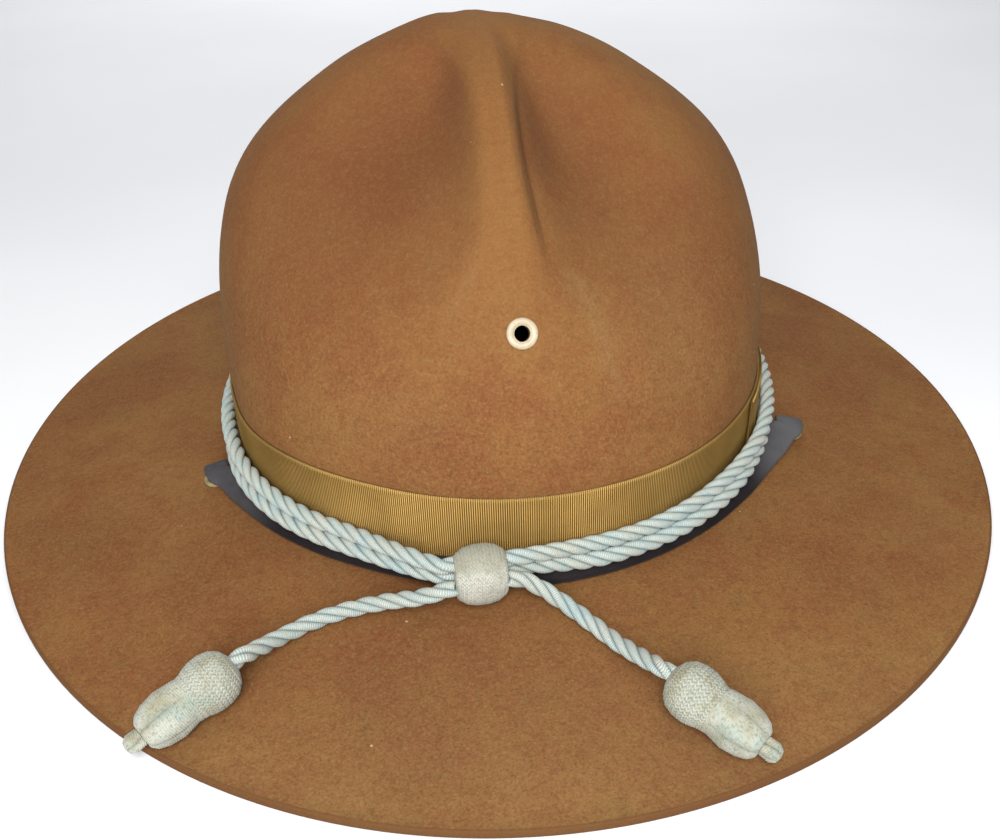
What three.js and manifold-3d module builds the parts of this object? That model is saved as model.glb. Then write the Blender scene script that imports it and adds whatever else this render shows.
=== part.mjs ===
// A felt campaign hat with a four-dent peaked crown and a wide flat brim, dressed with a grosgrain
// hatband and bow, a double hat cord with a keeper and two acorn ends, and a leather chin strap.
// Millimetres, +Z up. The hat stands on its brim at z = 0, its front faces -Y and the origin is
// below the middle of the brim. An angle round the crown is counted from the front (0 degrees)
// through +X (90), the back (180) and -X (270).
import * as THREE from 'three';
import { mergeVertices } from 'three/addons/utils/BufferGeometryUtils.js';
import Module from 'manifold-3d';

const wasm = await Module();
wasm.setup();

// Driving dimensions
const FELT = 2.5; // thickness of the felt
const GAP = 0.3; // clearance between pieces that touch
const BRIM = { side: 161, length: 175, centreX: 0, centreY: 0 }; // oval of the brim's edge
const BAND = { side: 86.7, length: 97, centreX: 0.3, centreY: -3.7 }; // oval of the hatband's face
const DROOP = 10.5; // fall of the brim from the crown to its edge
const RIM_LAND = 0.04; // share of the brim's width that lies flat at its edge
const FOOT_RADIUS = 2.5; // round between the brim and the crown
const BAND_THICK = 1;
const BAND_STEPS = 80;
const BAND_LOW = 2.2; // lower and upper edge of the hatband above the crown's foot
const BAND_HIGH = 26.5;
const WALL_HIGH = 29; // height where the crown's wall starts to lean in
const CINCH = 1.6; // how far the crown is drawn in at its foot, under the cords
// How far the crown's foot and all that is wrapped round it stand outside the hatband's oval, every
// 15 degrees from the front: the crown is fuller on its front right and drawn in at its sides.
const SWELL = [
  -0.1, 0.1, 0.3, 0.2, -0.2, -1, -1.5, -1.4, -0.9, -0.4, -0.1, 0,
  0, 0, 0, 0, 0, -0.3, -0.5, 0.6, 2.25, 1, -0.5, -0.5,
];
const SWELL_TOP = 58; // height where the swelling ends
const COLUMNS = 64; // columns of the felt round the crown
const FOOT = FELT + DROOP; // height of the brim's upper face where the crown begins

// Crown, a row for each level, in millimetres above the crown's foot: where the side, front and
// back ridges stand, how far a dent lies inside and below the ridges, and how blunt a ridge is.
const CROWN = [
  { height: 29, side: 85.4, front: 95.7, back: 95.7, dent: 0, drop: 0, blunt: 1.2 },
  { height: 45, side: 85.2, front: 91.8, back: 94.2, dent: 0.4, drop: 0, blunt: 1.2 },
  { height: 58, side: 83.9, front: 87.3, back: 91.3, dent: 1.8, drop: 0, blunt: 1 },
  { height: 70, side: 81.2, front: 81.8, back: 87.2, dent: 4.6, drop: 0.5, blunt: 0.8 },
  { height: 82, side: 76.6, front: 75.2, back: 81, dent: 8.6, drop: 1.5, blunt: 0.55 },
  { height: 93, side: 69.6, front: 67, back: 73, dent: 12.4, drop: 3, blunt: 0.42 },
  { height: 103, side: 60.2, front: 57.6, back: 62.8, dent: 14.4, drop: 4.6, blunt: 0.36 },
  { height: 112, side: 48.8, front: 46.6, back: 50.6, dent: 13, drop: 5.2, blunt: 0.34 },
  { height: 119, side: 37.8, front: 36.2, back: 39.2, dent: 9.4, drop: 4.4, blunt: 0.4 },
  { height: 124.5, side: 25.2, front: 24.4, back: 26.6, dent: 4.6, drop: 2.2, blunt: 0.6 },
  { height: 127.4, side: 13, front: 12.6, back: 13.6, dent: 1, drop: 0.5, blunt: 1 },
];
const PEAK_HEIGHT = 128.2;
const RINGS_PER_ROW = 1.2; // felt rings for each row of the table
// The four dents, counted like the angles: how near the front or back ridge each one's deepest
// line lies, from 0 midway to 1 nearest, and its share of the table's depth.
const DENTS = [
  { near: 1, deep: 1.12 },
  { near: 0.6, deep: 1 },
  { near: 0.6, deep: 1 },
  { near: 0.45, deep: 1 },
];
const SIDE_BLUNT = 0.7; // extra bluntness of the two side ridges
const LEAN = -0.025; // sideways lean of the crown for each millimetre of height above its wall

// Front eyelet and the two brim eyelets
const FRONT_EYELET = { height: 68, angle: 0.4, outer: 4.1, hole: 2.1 };
const BRIM_EYELET = { angle: 73, offset: 8, bow: 1.6, outer: 5, hole: 3.2 };
const EYELET_WALL = 0.6; // wall of an eyelet's barrel
const FLANGE = 0.9; // thickness of an eyelet's flanges
const INNER_FLANGE = 1.2; // reach of the inner flange past the barrel

// Bow on the hat's left side
const BOW = { from: 55, to: 113, thick: 0.7, low: 2.6, high: 26.1 };
const BOW_WRAP = { from: 92, to: 99, thick: 0.7 };

// Hat cord: two turns round the crown, a keeper in front and two free ends with acorns
const CORD = 4.2; // diameter
const CORD_SIDES = 8;
// A row for each station of the two turns, by angle: how far each cord's middle lies outside the
// hatband's face and above the crown's foot. The lower cord rides over the strap in front, and both rise
// over the bow.
const TURNS = [
  { angle: 10, low: 4.9, lowHeight: 6.6, high: 2.5, highHeight: 11 },
  { angle: 25, low: 4.9, lowHeight: 6.8, high: 2.5, highHeight: 11.2 },
  { angle: 38, low: 5, lowHeight: 7.9, high: 2.6, highHeight: 12.2 },
  { angle: 47, low: 4.6, lowHeight: 8.9, high: 3.1, highHeight: 13.3 },
  { angle: 55, low: 4.1, lowHeight: 9.8, high: 3.6, highHeight: 14.4 },
  { angle: 68, low: 3.6, lowHeight: 10.2, high: 3.6, highHeight: 14.8 },
  { angle: 78, low: 3.6, lowHeight: 10, high: 3.6, highHeight: 14.6 },
  { angle: 88, low: 4.3, lowHeight: 9.4, high: 4.3, highHeight: 14 },
  { angle: 97, low: 4.5, lowHeight: 8.6, high: 4.5, highHeight: 13.2 },
  { angle: 107, low: 3.8, lowHeight: 7.8, high: 3.8, highHeight: 12.4 },
  { angle: 116, low: 3.2, lowHeight: 7.1, high: 3.2, highHeight: 11.7 },
  { angle: 127, low: 2.5, lowHeight: 6.4, high: 2.5, highHeight: 11 },
  { angle: 180, low: 2.5, lowHeight: 5, high: 2.5, highHeight: 9.6 },
  { angle: 260, low: 2.5, lowHeight: 7.4, high: 2.5, highHeight: 12 },
  { angle: 284, low: 2.6, lowHeight: 9, high: 2.5, highHeight: 13.5 },
  { angle: 295, low: 3.6, lowHeight: 9.4, high: 2.5, highHeight: 13.8 },
  { angle: 303, low: 4.5, lowHeight: 8.8, high: 2.6, highHeight: 13 },
  { angle: 312, low: 5, lowHeight: 7.4, high: 2.7, highHeight: 11.5 },
  { angle: 328, low: 5, lowHeight: 6.6, high: 2.7, highHeight: 10.9 },
];
const TURN_STEP = 7; // degrees between points of a turn
const KEEPER = { x: -14.8, y: -107.6, height: 9.4, turn: 3, half: 7, depth: 6.6, tall: 8.8 };
const KEEPER_END = 0.66; // share of the keeper's section left at its ends
const ACORN = { cap: 13.5, capRadius: 7.8, body: 12.8, bodyRadius: 6.6, neckRadius: 4.7, tip: 4.4 };
const TIP_RADIUS = 2.5;

// Routes of the free ends, points chosen along each, from the keeper to the acorn, with heights
// above the crown's foot; the last point is where the cord enters the acorn's cap.
const LEFT_ROUTE = [
  [-22.4, -110.4, 7.9], [-25.4, -110.6, 7.2], [-31, -109.4, 5], [-37, -107, 2.8], [-44.6, -105.6, 1],
  [-52.4, -106, -0.2], [-60.2, -108.2, -1], [-66.1, -111.6, -1.1], [-70, -115.6, 0.1],
  [-73.5, -120.4, 2.1], [-76.2, -123.6, 3.3], [-77.9, -124.7, 2.8],
];
const RIGHT_ROUTE = [
  [-7.2, -109.7, 8.6], [-4.2, -109.6, 8], [0.5, -110.8, 5.6], [5, -113.1, 3], [9.3, -116.6, 1],
  [13.3, -121.3, -0.1], [17.1, -127.1, -0.3], [20.6, -132.9, 0.5], [23.3, -138.3, 2.2],
  [25.9, -143.3, 3.8], [27.4, -144.8, 3.3],
];
const LEFT_ACORN_END = [-102.9, -140.7, -6.4]; // where each acorn's tip points
const RIGHT_ACORN_END = [49.2, -166.6, -5.9];

// Chin strap: a row for each station from the front to a brim eyelet, with the middle of the
// strap outside the hatband's face and above the crown's foot, its lean from upright and its width, and
// how much farther out it lies on the bow's side.
const STRAP_THICK = 1.5;
const STRAP_RUN = [
  { angle: 0, offset: 2.6, height: 3.9, lean: 23, width: 7.8, bow: 0 },
  { angle: 30, offset: 2.6, height: 3.9, lean: 23, width: 7.8, bow: 0 },
  { angle: 45, offset: 3, height: 3.8, lean: 27, width: 7.8, bow: 0.6 },
  { angle: 55, offset: 3.5, height: 3.7, lean: 30, width: 7.8, bow: 1.2 },
  { angle: 60, offset: 4.1, height: 3.6, lean: 32, width: 7.8, bow: 1.2 },
  { angle: 65, offset: 5.4, height: 3.2, lean: 40, width: 7.8, bow: 0.8 },
  { angle: 69, offset: 7.0, height: 2.8, lean: 54, width: 7, bow: 0.4 },
];
// The strap's bend down through the eyelet: along is the way past the hole's middle, up is above
// the brim there.
const STRAP_BEND = 2; // radius of the strap's middle at its two bends
const STRAP_NARROW = 4.4; // width inside the eyelet
const STRAP_DOWN = 1.2; // place of the upright stretch past the hole's middle
const STRAP_TOP = 3.9; // height of the strap's middle above the brim over the hole
const STRAP_UNDER = -5.4; // height of the strap's middle below the brim's upper face
const STRAP_STEP = 5; // degrees between stations in front
const STRAP_BACK_STEP = 7; // and behind
const STRAP_WIDE = 7.8; // width behind the eyelets
const BRIM_LEAN = 82; // lean of a strap that lies flat against the brim

const rad = THREE.MathUtils.degToRad;
const lerp = THREE.MathUtils.lerp;

const felt = new THREE.MeshStandardMaterial({ color: 0x8f6138, roughness: 0.95, metalness: 0 });
const grosgrain = new THREE.MeshStandardMaterial({ color: 0x8c6c2c, roughness: 0.6, metalness: 0 });
const cordSilk = new THREE.MeshStandardMaterial({ color: 0xb9c8c4, roughness: 0.7, metalness: 0 });
const weave = new THREE.MeshStandardMaterial({ color: 0xb2b29c, roughness: 0.8, metalness: 0 });
const leather = new THREE.MeshStandardMaterial({ color: 0x46403f, roughness: 0.7, metalness: 0 });
const enamel = new THREE.MeshStandardMaterial({ color: 0xe4d4b4, roughness: 0.35, metalness: 0 });

// Point of an oval at an angle from the front, a distance outside it.
function ovalPoint(oval, degrees, offset = 0, z = 0) {
  const angle = rad(degrees);
  const x = oval.centreX + (oval.side + offset) * Math.sin(angle);
  const y = oval.centreY - (oval.length + offset) * Math.cos(angle);
  return new THREE.Vector3(x, y, z);
}

// Smooth curve between the middle two of four numbers.
function smooth(before, start, end, after, t) {
  const slopeStart = (end - before) / 2;
  const slopeEnd = (after - start) / 2;
  const step = end - start;
  const square = 3 * step - 2 * slopeStart - slopeEnd;
  const cube = slopeStart + slopeEnd - 2 * step;
  return start + t * (slopeStart + t * (square + t * cube));
}

// How far the crown's foot stands outside the hatband's oval at an angle.
function swell(degrees) {
  const place = (THREE.MathUtils.euclideanModulo(degrees, 360) * SWELL.length) / 360;
  const row = Math.floor(place);
  const at = (index) => SWELL[(index + SWELL.length) % SWELL.length];
  return smooth(at(row - 1), at(row), at(row + 1), at(row + 2), place - row);
}

// Point outside the hatband's face at an angle and a height above the crown's foot.
function bandPoint(degrees, offset, height) {
  const inset = (CINCH * Math.max(0, WALL_HIGH - height)) / WALL_HIGH;
  return ovalPoint(BAND, degrees, offset - inset + swell(degrees), FOOT + height);
}

// Outward direction of the hatband's oval at an angle.
function outward(degrees) {
  const angle = rad(degrees);
  const x = Math.sin(angle) / BAND.side;
  const y = -Math.cos(angle) / BAND.length;
  return new THREE.Vector3(x, y, 0).normalize();
}

// Height of the brim's upper face above the crown's foot, a distance outside the hatband.
function brimDrop(degrees, offset) {
  const foot = ovalPoint(BAND, degrees);
  const reach = ovalPoint(BRIM, degrees).distanceTo(foot);
  return (-DROOP * offset) / reach;
}

// Smooth curve through one column of a table, at a row number that may lie between two rows.
function column(rows, name, place) {
  const row = Math.min(Math.floor(place), rows.length - 2);
  const at = (index) => rows[THREE.MathUtils.clamp(index, 0, rows.length - 1)][name];
  return smooth(at(row - 1), at(row), at(row + 1), at(row + 2), place - row);
}

// A table's row at an angle, every column read off its curve.
function rowAtAngle(rows, degrees) {
  let index = 0;
  while (index < rows.length - 2 && rows[index + 1].angle < degrees) {
    index += 1;
  }
  const span = rows[index + 1].angle - rows[index].angle;
  const place = index + (degrees - rows[index].angle) / span;
  const result = {};
  for (const name of Object.keys(rows[0])) {
    result[name] = column(rows, name, place);
  }
  return result;
}

// How deep the dents are at an angle, from 0 on a ridge to about 1 at a dent's deepest line.
function dentShare(degrees, blunt) {
  const turn = THREE.MathUtils.euclideanModulo(degrees, 360);
  const quarter = Math.floor(turn / 90);
  const inQuarter = turn / 90 - quarter;
  const way = quarter % 2 === 0 ? inQuarter : 1 - inQuarter;
  const dent = DENTS[quarter];
  const wave = Math.sin(Math.PI * way * (1 + dent.near * (1 - way)));
  const soft = blunt + SIDE_BLUNT * way * way;
  return (dent.deep * (Math.hypot(wave, soft) - soft)) / (Math.hypot(1, soft) - soft);
}

// Sideways place of the crown's middle at a height above the foot.
function crownMiddle(height) {
  return BAND.centreX + LEAN * (height - WALL_HIGH);
}

// Point of the crown's outer face, at a row place of the table and an angle.
function crownPoint(place, degrees) {
  const row = {};
  for (const name of Object.keys(CROWN[0])) {
    row[name] = column(CROWN, name, place);
  }
  const angle = rad(degrees);
  const reach = Math.cos(angle) > 0 ? row.front : row.back;
  const share = dentShare(degrees, row.blunt);
  const inward = (row.dent * share) / row.side;
  const height = row.height - row.drop * share;
  const fade = 1 - THREE.MathUtils.smoothstep(height, WALL_HIGH, SWELL_TOP);
  const swelling = fade * swell(degrees);
  const x = crownMiddle(height) + (row.side * (1 - inward) + swelling) * Math.sin(angle);
  const y = BAND.centreY - (reach * (1 - inward) + swelling) * Math.cos(angle);
  return new THREE.Vector3(x, y, FOOT + height);
}

// Angle of a felt column: the columns stand closer together at the front and back ridges.
function columnAngle(index) {
  const perQuarter = COLUMNS / 4;
  const quarter = Math.floor(index / perQuarter);
  const way = (index % perQuarter) / perQuarter;
  const closer = (share) => share * (0.55 + 0.45 * share);
  const inQuarter = quarter % 2 === 0 ? closer(way) : 1 - closer(1 - way);
  return 90 * (quarter + inQuarter);
}

// Rings of the felt's upper face, from the brim's edge to just below the peak.
function feltRings() {
  const angles = [];
  for (let index = 0; index < COLUMNS; index += 1) {
    angles.push(columnAngle(index));
  }
  const wall = { ...BAND, side: CROWN[0].side - CINCH, length: CROWN[0].front - CINCH };
  const rings = [];
  for (const share of [1, 1 - RIM_LAND, 0.75, 0.5, 0.25, 0]) {
    const rise = DROOP * Math.min(1, (1 - share) / (1 - RIM_LAND));
    rings.push(angles.map((degrees) => {
      const foot = ovalPoint(wall, degrees, FOOT_RADIUS + swell(degrees));
      const rim = ovalPoint(BRIM, degrees);
      return foot.lerp(rim, share).setZ(FELT + Math.max(0, rise - DROOP * RIM_LAND));
    }));
  }
  const footTop = rings[rings.length - 1][0].z;
  for (const turn of [30, 60, 90]) {
    const offset = FOOT_RADIUS * (1 - Math.sin(rad(turn)));
    const z = footTop + FOOT_RADIUS * (1 - Math.cos(rad(turn)));
    rings.push(angles.map((degrees) => ovalPoint(wall, degrees, offset + swell(degrees), z)));
  }
  const count = Math.round((CROWN.length - 1) * RINGS_PER_ROW);
  for (let index = 0; index <= count; index += 1) {
    const place = ((CROWN.length - 1) * index) / count;
    rings.push(angles.map((degrees) => crownPoint(place, degrees)));
  }
  return rings;
}

// Rings shifted by the felt's thickness: straight down on the brim, square to the face elsewhere.
function innerRings(rings, peak, brimRings) {
  return rings.map((ring, row) => ring.map((point, index) => {
    if (row < brimRings) {
      return new THREE.Vector3(point.x, point.y, point.z - FELT);
    }
    const next = ring[(index + 1) % ring.length];
    const before = ring[(index + ring.length - 1) % ring.length];
    const above = row + 1 < rings.length ? rings[row + 1][index] : peak;
    const around = next.clone().sub(before);
    const upward = above.clone().sub(rings[row - 1][index]);
    return point.clone().addScaledVector(around.cross(upward).normalize(), -FELT);
  }));
}

// Closed surface from rings of points. A cap is a point that closes an end; without caps the last
// ring joins the first.
function ringSurface(rings, startCap, endCap) {
  const size = rings[0].length;
  const points = rings.flat();
  const faces = [];
  const rows = startCap ? rings.length - 1 : rings.length;
  for (let row = 0; row < rows; row += 1) {
    const other = (row + 1) % rings.length;
    for (let index = 0; index < size; index += 1) {
      const next = (index + 1) % size;
      const a = row * size + index;
      const b = row * size + next;
      const c = other * size + next;
      const d = other * size + index;
      faces.push(a, b, c, a, c, d);
    }
  }
  if (startCap) {
    const start = points.push(startCap) - 1;
    const end = points.push(endCap) - 1;
    const last = (rings.length - 1) * size;
    for (let index = 0; index < size; index += 1) {
      const next = (index + 1) % size;
      faces.push(start, next, index, end, last + index, last + next);
    }
  }
  const geometry = new THREE.BufferGeometry().setFromPoints(points);
  geometry.setIndex(faces);
  geometry.computeVertexNormals();
  return geometry;
}

function toManifold(geometry) {
  const bare = geometry.clone();
  bare.deleteAttribute('normal');
  bare.deleteAttribute('uv');
  const merged = mergeVertices(bare, 1e-4);
  const vertProperties = new Float32Array(merged.attributes.position.array);
  const triVerts = new Uint32Array(merged.index.array);
  return new wasm.Manifold(new wasm.Mesh({ numProp: 3, vertProperties, triVerts }));
}

function fromManifold(solid) {
  const result = solid.getMesh();
  const geometry = new THREE.BufferGeometry();
  geometry.setAttribute('position', new THREE.BufferAttribute(result.vertProperties, 3));
  geometry.setIndex(new THREE.BufferAttribute(result.triVerts, 1));
  geometry.computeVertexNormals();
  return geometry;
}

// Turns a geometry's +Z axis to a direction and moves it to a place.
function aim(geometry, direction, place) {
  const turn = new THREE.Quaternion().setFromUnitVectors(new THREE.Vector3(0, 0, 1), direction);
  return geometry.applyQuaternion(turn).translate(place.x, place.y, place.z);
}

// Place and outward direction of the front eyelet on the crown's face.
function frontEyeletSeat() {
  let place = 0;
  while (column(CROWN, 'height', place) < FRONT_EYELET.height) {
    place += 0.01;
  }
  const { angle } = FRONT_EYELET;
  const point = crownPoint(place, angle);
  const upward = crownPoint(place + 0.2, angle).sub(crownPoint(place - 0.2, angle));
  const around = crownPoint(place, angle + 3).sub(crownPoint(place, angle - 3));
  return { point, direction: around.cross(upward).normalize() };
}

// Place and upward direction of a brim eyelet; the side is 1 for the bow's, +X, and -1 for the other.
function brimEyeletSeat(side) {
  const angle = side * BRIM_EYELET.angle;
  const offset = BRIM_EYELET.offset + Math.max(0, side) * BRIM_EYELET.bow;
  const point = ovalPoint(BAND, angle, offset, FOOT + brimDrop(angle, offset));
  const out = outward(angle);
  const farther = out.clone().setZ(brimDrop(angle, 1));
  const direction = farther.cross(new THREE.Vector3(-out.y, out.x, 0)).normalize();
  return { point, direction };
}

const EYELET_SEATS = [
  { name: 'front_eyelet', size: FRONT_EYELET, seat: frontEyeletSeat() },
  { name: 'brim_eyelet_left', size: BRIM_EYELET, seat: brimEyeletSeat(-1) },
  { name: 'brim_eyelet_right', size: BRIM_EYELET, seat: brimEyeletSeat(1) },
];

// The felt: crown and brim in one hollow piece, with three eyelet holes.
function feltBody() {
  const rings = feltRings();
  const peak = new THREE.Vector3(crownMiddle(PEAK_HEIGHT), BAND.centreY, FOOT + PEAK_HEIGHT);
  const inner = innerRings(rings, peak, 6);
  const innerPeak = peak.clone().setZ(peak.z - FELT);
  let solid = toManifold(ringSurface([...inner.reverse(), ...rings], innerPeak, peak));
  for (const { size, seat } of EYELET_SEATS) {
    const radius = size.hole + EYELET_WALL + GAP;
    const drill = new THREE.CylinderGeometry(radius, radius, 6 * FELT, 20).rotateX(Math.PI / 2);
    solid = solid.subtract(toManifold(aim(drill, seat.direction, seat.point)));
  }
  return fromManifold(solid);
}

// An eyelet: a barrel through the felt between two rounded flanges.
function eyelet(size, seat) {
  const lift = GAP;
  const low = -FELT - 2 * GAP;
  const barrel = size.hole + EYELET_WALL;
  const inner = barrel + INNER_FLANGE;
  const middle = (size.hole + size.outer) / 2;
  const profile = [
    [size.hole, low - FLANGE / 2], [barrel, low - FLANGE], [inner, low - FLANGE / 2],
    [inner, low], [barrel, low], [barrel, lift], [size.outer - 0.1, lift],
    [size.outer, lift + FLANGE / 3], [middle, lift + FLANGE], [size.hole, lift + FLANGE / 2],
    [size.hole, low - FLANGE / 2],
  ];
  const points = profile.map(([radius, z]) => new THREE.Vector2(radius, z));
  const ring = new THREE.LatheGeometry(points, 14).rotateX(Math.PI / 2);
  return aim(ring, seat.direction, seat.point);
}

// Sections of a slab that follows the hatband's face between two angles.
function slabRings(angles, inside, outside, low, high) {
  return angles.map((degrees) => [
    bandPoint(degrees, outside, high), bandPoint(degrees, outside, low),
    bandPoint(degrees, inside, low), bandPoint(degrees, inside, high),
  ]);
}

function curvedSlab(from, to, inside, outside, low, high) {
  const steps = Math.ceil((to - from) / 4);
  const angles = [];
  for (let index = 0; index <= steps; index += 1) {
    angles.push(lerp(from, to, index / steps));
  }
  const rings = slabRings(angles, inside, outside, low, high);
  const middle = (ring) => ring[0].clone().lerp(ring[2], 0.5);
  return ringSurface(rings, middle(rings[0]), middle(rings[steps]));
}

function hatband() {
  const angles = [];
  for (let index = 0; index < BAND_STEPS; index += 1) {
    angles.push((360 * index) / BAND_STEPS);
  }
  return ringSurface(slabRings(angles, -BAND_THICK, 0, BAND_LOW, BAND_HIGH));
}

// A round tube along points, with its two ends cut square.
function cordTube(points, steps) {
  const curve = new THREE.CatmullRomCurve3(points);
  const section = new THREE.Shape();
  section.absarc(0, 0, CORD / 2, 0, 2 * Math.PI, false);
  const options = { steps, bevelEnabled: false, extrudePath: curve, curveSegments: CORD_SIDES / 2 };
  return new THREE.ExtrudeGeometry(section, options);
}

// Place on an end face of the keeper; end is 1 for the +X face, with the distance of the cord's
// middle behind and above the keeper's own.
function keeperFace(end, behind, above) {
  const reach = KEEPER.half + GAP;
  const x = KEEPER.x + end * reach * Math.cos(rad(KEEPER.turn));
  const y = KEEPER.y + end * reach * Math.sin(rad(KEEPER.turn)) + behind;
  return new THREE.Vector3(x, y, FOOT + KEEPER.height + above);
}

// One turn of the hat cord: from the keeper's right face round the back to its left face. The
// names are the table's columns for this turn.
function cordTurn(offsetName, heightName, behind, above) {
  const stub = CORD / 2;
  const along = new THREE.Vector3(Math.cos(rad(KEEPER.turn)), Math.sin(rad(KEEPER.turn)), 0);
  const right = keeperFace(1, behind, above);
  const left = keeperFace(-1, behind, above);
  const points = [right, right.clone().addScaledVector(along, stub)];
  for (let degrees = TURNS[0].angle; degrees <= TURNS.at(-1).angle; degrees += TURN_STEP) {
    const row = rowAtAngle(TURNS, degrees);
    points.push(bandPoint(degrees, row[offsetName], row[heightName]));
  }
  points.push(left.clone().addScaledVector(along, -stub), left);
  return cordTube(points, 56);
}

function freeEnd(route) {
  return cordTube(route.map(([x, y, height]) => new THREE.Vector3(x, y, FOOT + height)), 20);
}

// Keeper: a barrel lying along the brim's front, flattened towards the crown.
function keeper() {
  const rows = [[-1, KEEPER_END], [-0.7, 0.88], [-0.3, 1], [0.3, 1], [0.7, 0.88], [1, KEEPER_END]];
  const points = [new THREE.Vector2(0, -KEEPER.half)];
  for (const [way, share] of rows) {
    points.push(new THREE.Vector2(share, way * KEEPER.half));
  }
  points.push(new THREE.Vector2(0, KEEPER.half));
  const barrel = new THREE.LatheGeometry(points, 16).rotateZ(-Math.PI / 2);
  barrel.scale(1, KEEPER.depth, KEEPER.tall).rotateZ(rad(KEEPER.turn));
  return barrel.translate(KEEPER.x, KEEPER.y, FOOT + KEEPER.height);
}

// A lathed piece of an acorn: rows of distance along the acorn's axis and radius.
function acornPiece(rows, start, direction) {
  const first = rows[0][0];
  const last = rows[rows.length - 1][0];
  const points = [new THREE.Vector2(0, first)];
  for (const [along, radius] of rows) {
    points.push(new THREE.Vector2(radius, along));
  }
  points.push(new THREE.Vector2(0, last));
  const piece = new THREE.LatheGeometry(points, 14).rotateX(Math.PI / 2);
  return aim(piece, direction, start);
}

// Cap, body and tip of the acorn that hangs on a free end.
function acorn(route, end) {
  const entry = new THREE.Vector3(...route[route.length - 1]);
  const direction = new THREE.Vector3(...end).sub(entry).normalize();
  const start = entry.clone().addScaledVector(direction, GAP);
  start.z += FOOT;
  const { cap, capRadius, body, bodyRadius, neckRadius, tip } = ACORN;
  const bodyStart = cap + GAP;
  const tipStart = bodyStart + body + GAP;
  return {
    cap: acornPiece([
      [0, CORD * 0.62], [cap * 0.1, capRadius * 0.7], [cap * 0.28, capRadius * 0.94],
      [cap * 0.5, capRadius], [cap * 0.75, capRadius * 0.95], [cap, bodyRadius * 0.94],
    ], start, direction),
    body: acornPiece([
      [bodyStart, bodyRadius * 0.9], [bodyStart + body * 0.3, bodyRadius],
      [bodyStart + body * 0.7, bodyRadius * 0.88], [bodyStart + body, neckRadius],
    ], start, direction),
    tip: acornPiece([
      [tipStart, TIP_RADIUS], [tipStart + tip * 0.7, TIP_RADIUS], [tipStart + tip, TIP_RADIUS * 0.5],
    ], start, direction),
  };
}

// Stations of the strap from the front to the back on one side, each with the strap's middle, the
// direction across it and its width. The side is 1 for the bow's, +X, and -1 for the other.
function strapStations(side) {
  const stations = [];
  const bowShare = Math.max(0, side);
  const up = new THREE.Vector3(0, 0, 1);
  const add = (middle, degrees, lean, width) => {
    const across = up.clone().multiplyScalar(Math.cos(rad(lean)));
    across.addScaledVector(outward(side * degrees), -Math.sin(rad(lean)));
    stations.push({ middle, across, width });
  };
  const addRun = (degrees) => {
    const row = rowAtAngle(STRAP_RUN, degrees);
    const offset = row.offset + bowShare * row.bow;
    add(bandPoint(side * degrees, offset, row.height), degrees, row.lean, row.width);
  };
  const runEnd = STRAP_RUN.at(-1).angle;
  for (let degrees = 0; degrees < runEnd; degrees += STRAP_STEP) {
    addRun(degrees);
  }
  addRun(runEnd);

  const hole = brimEyeletSeat(side);
  const out = outward(side * BRIM_EYELET.angle);
  const onward = new THREE.Vector3(-out.y, out.x, 0).multiplyScalar(side);
  const addPassage = (along, height, lean, width) => {
    const middle = hole.point.clone().addScaledVector(onward, along);
    middle.addScaledVector(hole.direction, height);
    add(middle, BRIM_EYELET.angle, lean, width);
  };
  const bendStart = STRAP_DOWN - STRAP_BEND;
  const bendCorner = STRAP_BEND * (1 - Math.SQRT1_2);
  addPassage(bendStart - 2.4, STRAP_TOP + 0.1, 72, 5.8);
  addPassage(bendStart, STRAP_TOP, BRIM_LEAN, 4.8);
  addPassage(STRAP_DOWN - bendCorner, STRAP_TOP - bendCorner, BRIM_LEAN, STRAP_NARROW);
  addPassage(STRAP_DOWN, STRAP_TOP - STRAP_BEND, BRIM_LEAN, STRAP_NARROW);
  addPassage(STRAP_DOWN, STRAP_UNDER + STRAP_BEND, BRIM_LEAN, STRAP_NARROW);
  addPassage(STRAP_DOWN + bendCorner, STRAP_UNDER + bendCorner, BRIM_LEAN, STRAP_NARROW);
  addPassage(STRAP_DOWN + STRAP_BEND, STRAP_UNDER, BRIM_LEAN, STRAP_NARROW);
  addPassage(STRAP_DOWN + STRAP_BEND + 3, STRAP_UNDER, BRIM_LEAN, 6);

  const offset = BRIM_EYELET.offset + bowShare * BRIM_EYELET.bow;
  const backStart = BRIM_EYELET.angle + STRAP_BACK_STEP;
  for (let degrees = backStart; degrees < 180; degrees += STRAP_BACK_STEP) {
    const height = FOOT + brimDrop(degrees, offset) + STRAP_UNDER;
    add(ovalPoint(BAND, side * degrees, offset, height), degrees, BRIM_LEAN, STRAP_WIDE);
  }
  return stations;
}

// The chin strap: one loop that runs over the front of the brim, down through both brim eyelets
// and round the back under the brim.
function chinStrap() {
  const stations = [...strapStations(1), ...strapStations(-1).slice(1).reverse()];
  const rings = stations.map(({ middle, across, width }, index) => {
    const next = stations[(index + 1) % stations.length].middle;
    const before = stations[(index + stations.length - 1) % stations.length].middle;
    const along = next.clone().sub(before).normalize();
    const wide = across.clone().addScaledVector(along, -across.dot(along)).normalize();
    const thick = new THREE.Vector3().crossVectors(along, wide);
    const corners = [[-1, -1], [1, -1], [1, 1], [-1, 1]];
    return corners.map(([side, face]) => middle.clone()
      .addScaledVector(wide, (side * width) / 2)
      .addScaledVector(thick, (face * STRAP_THICK) / 2));
  });
  return ringSurface(rings);
}

const hat = new THREE.Group();

function add(name, geometry, material) {
  const mesh = new THREE.Mesh(geometry, material);
  mesh.name = name;
  hat.add(mesh);
}

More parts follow.
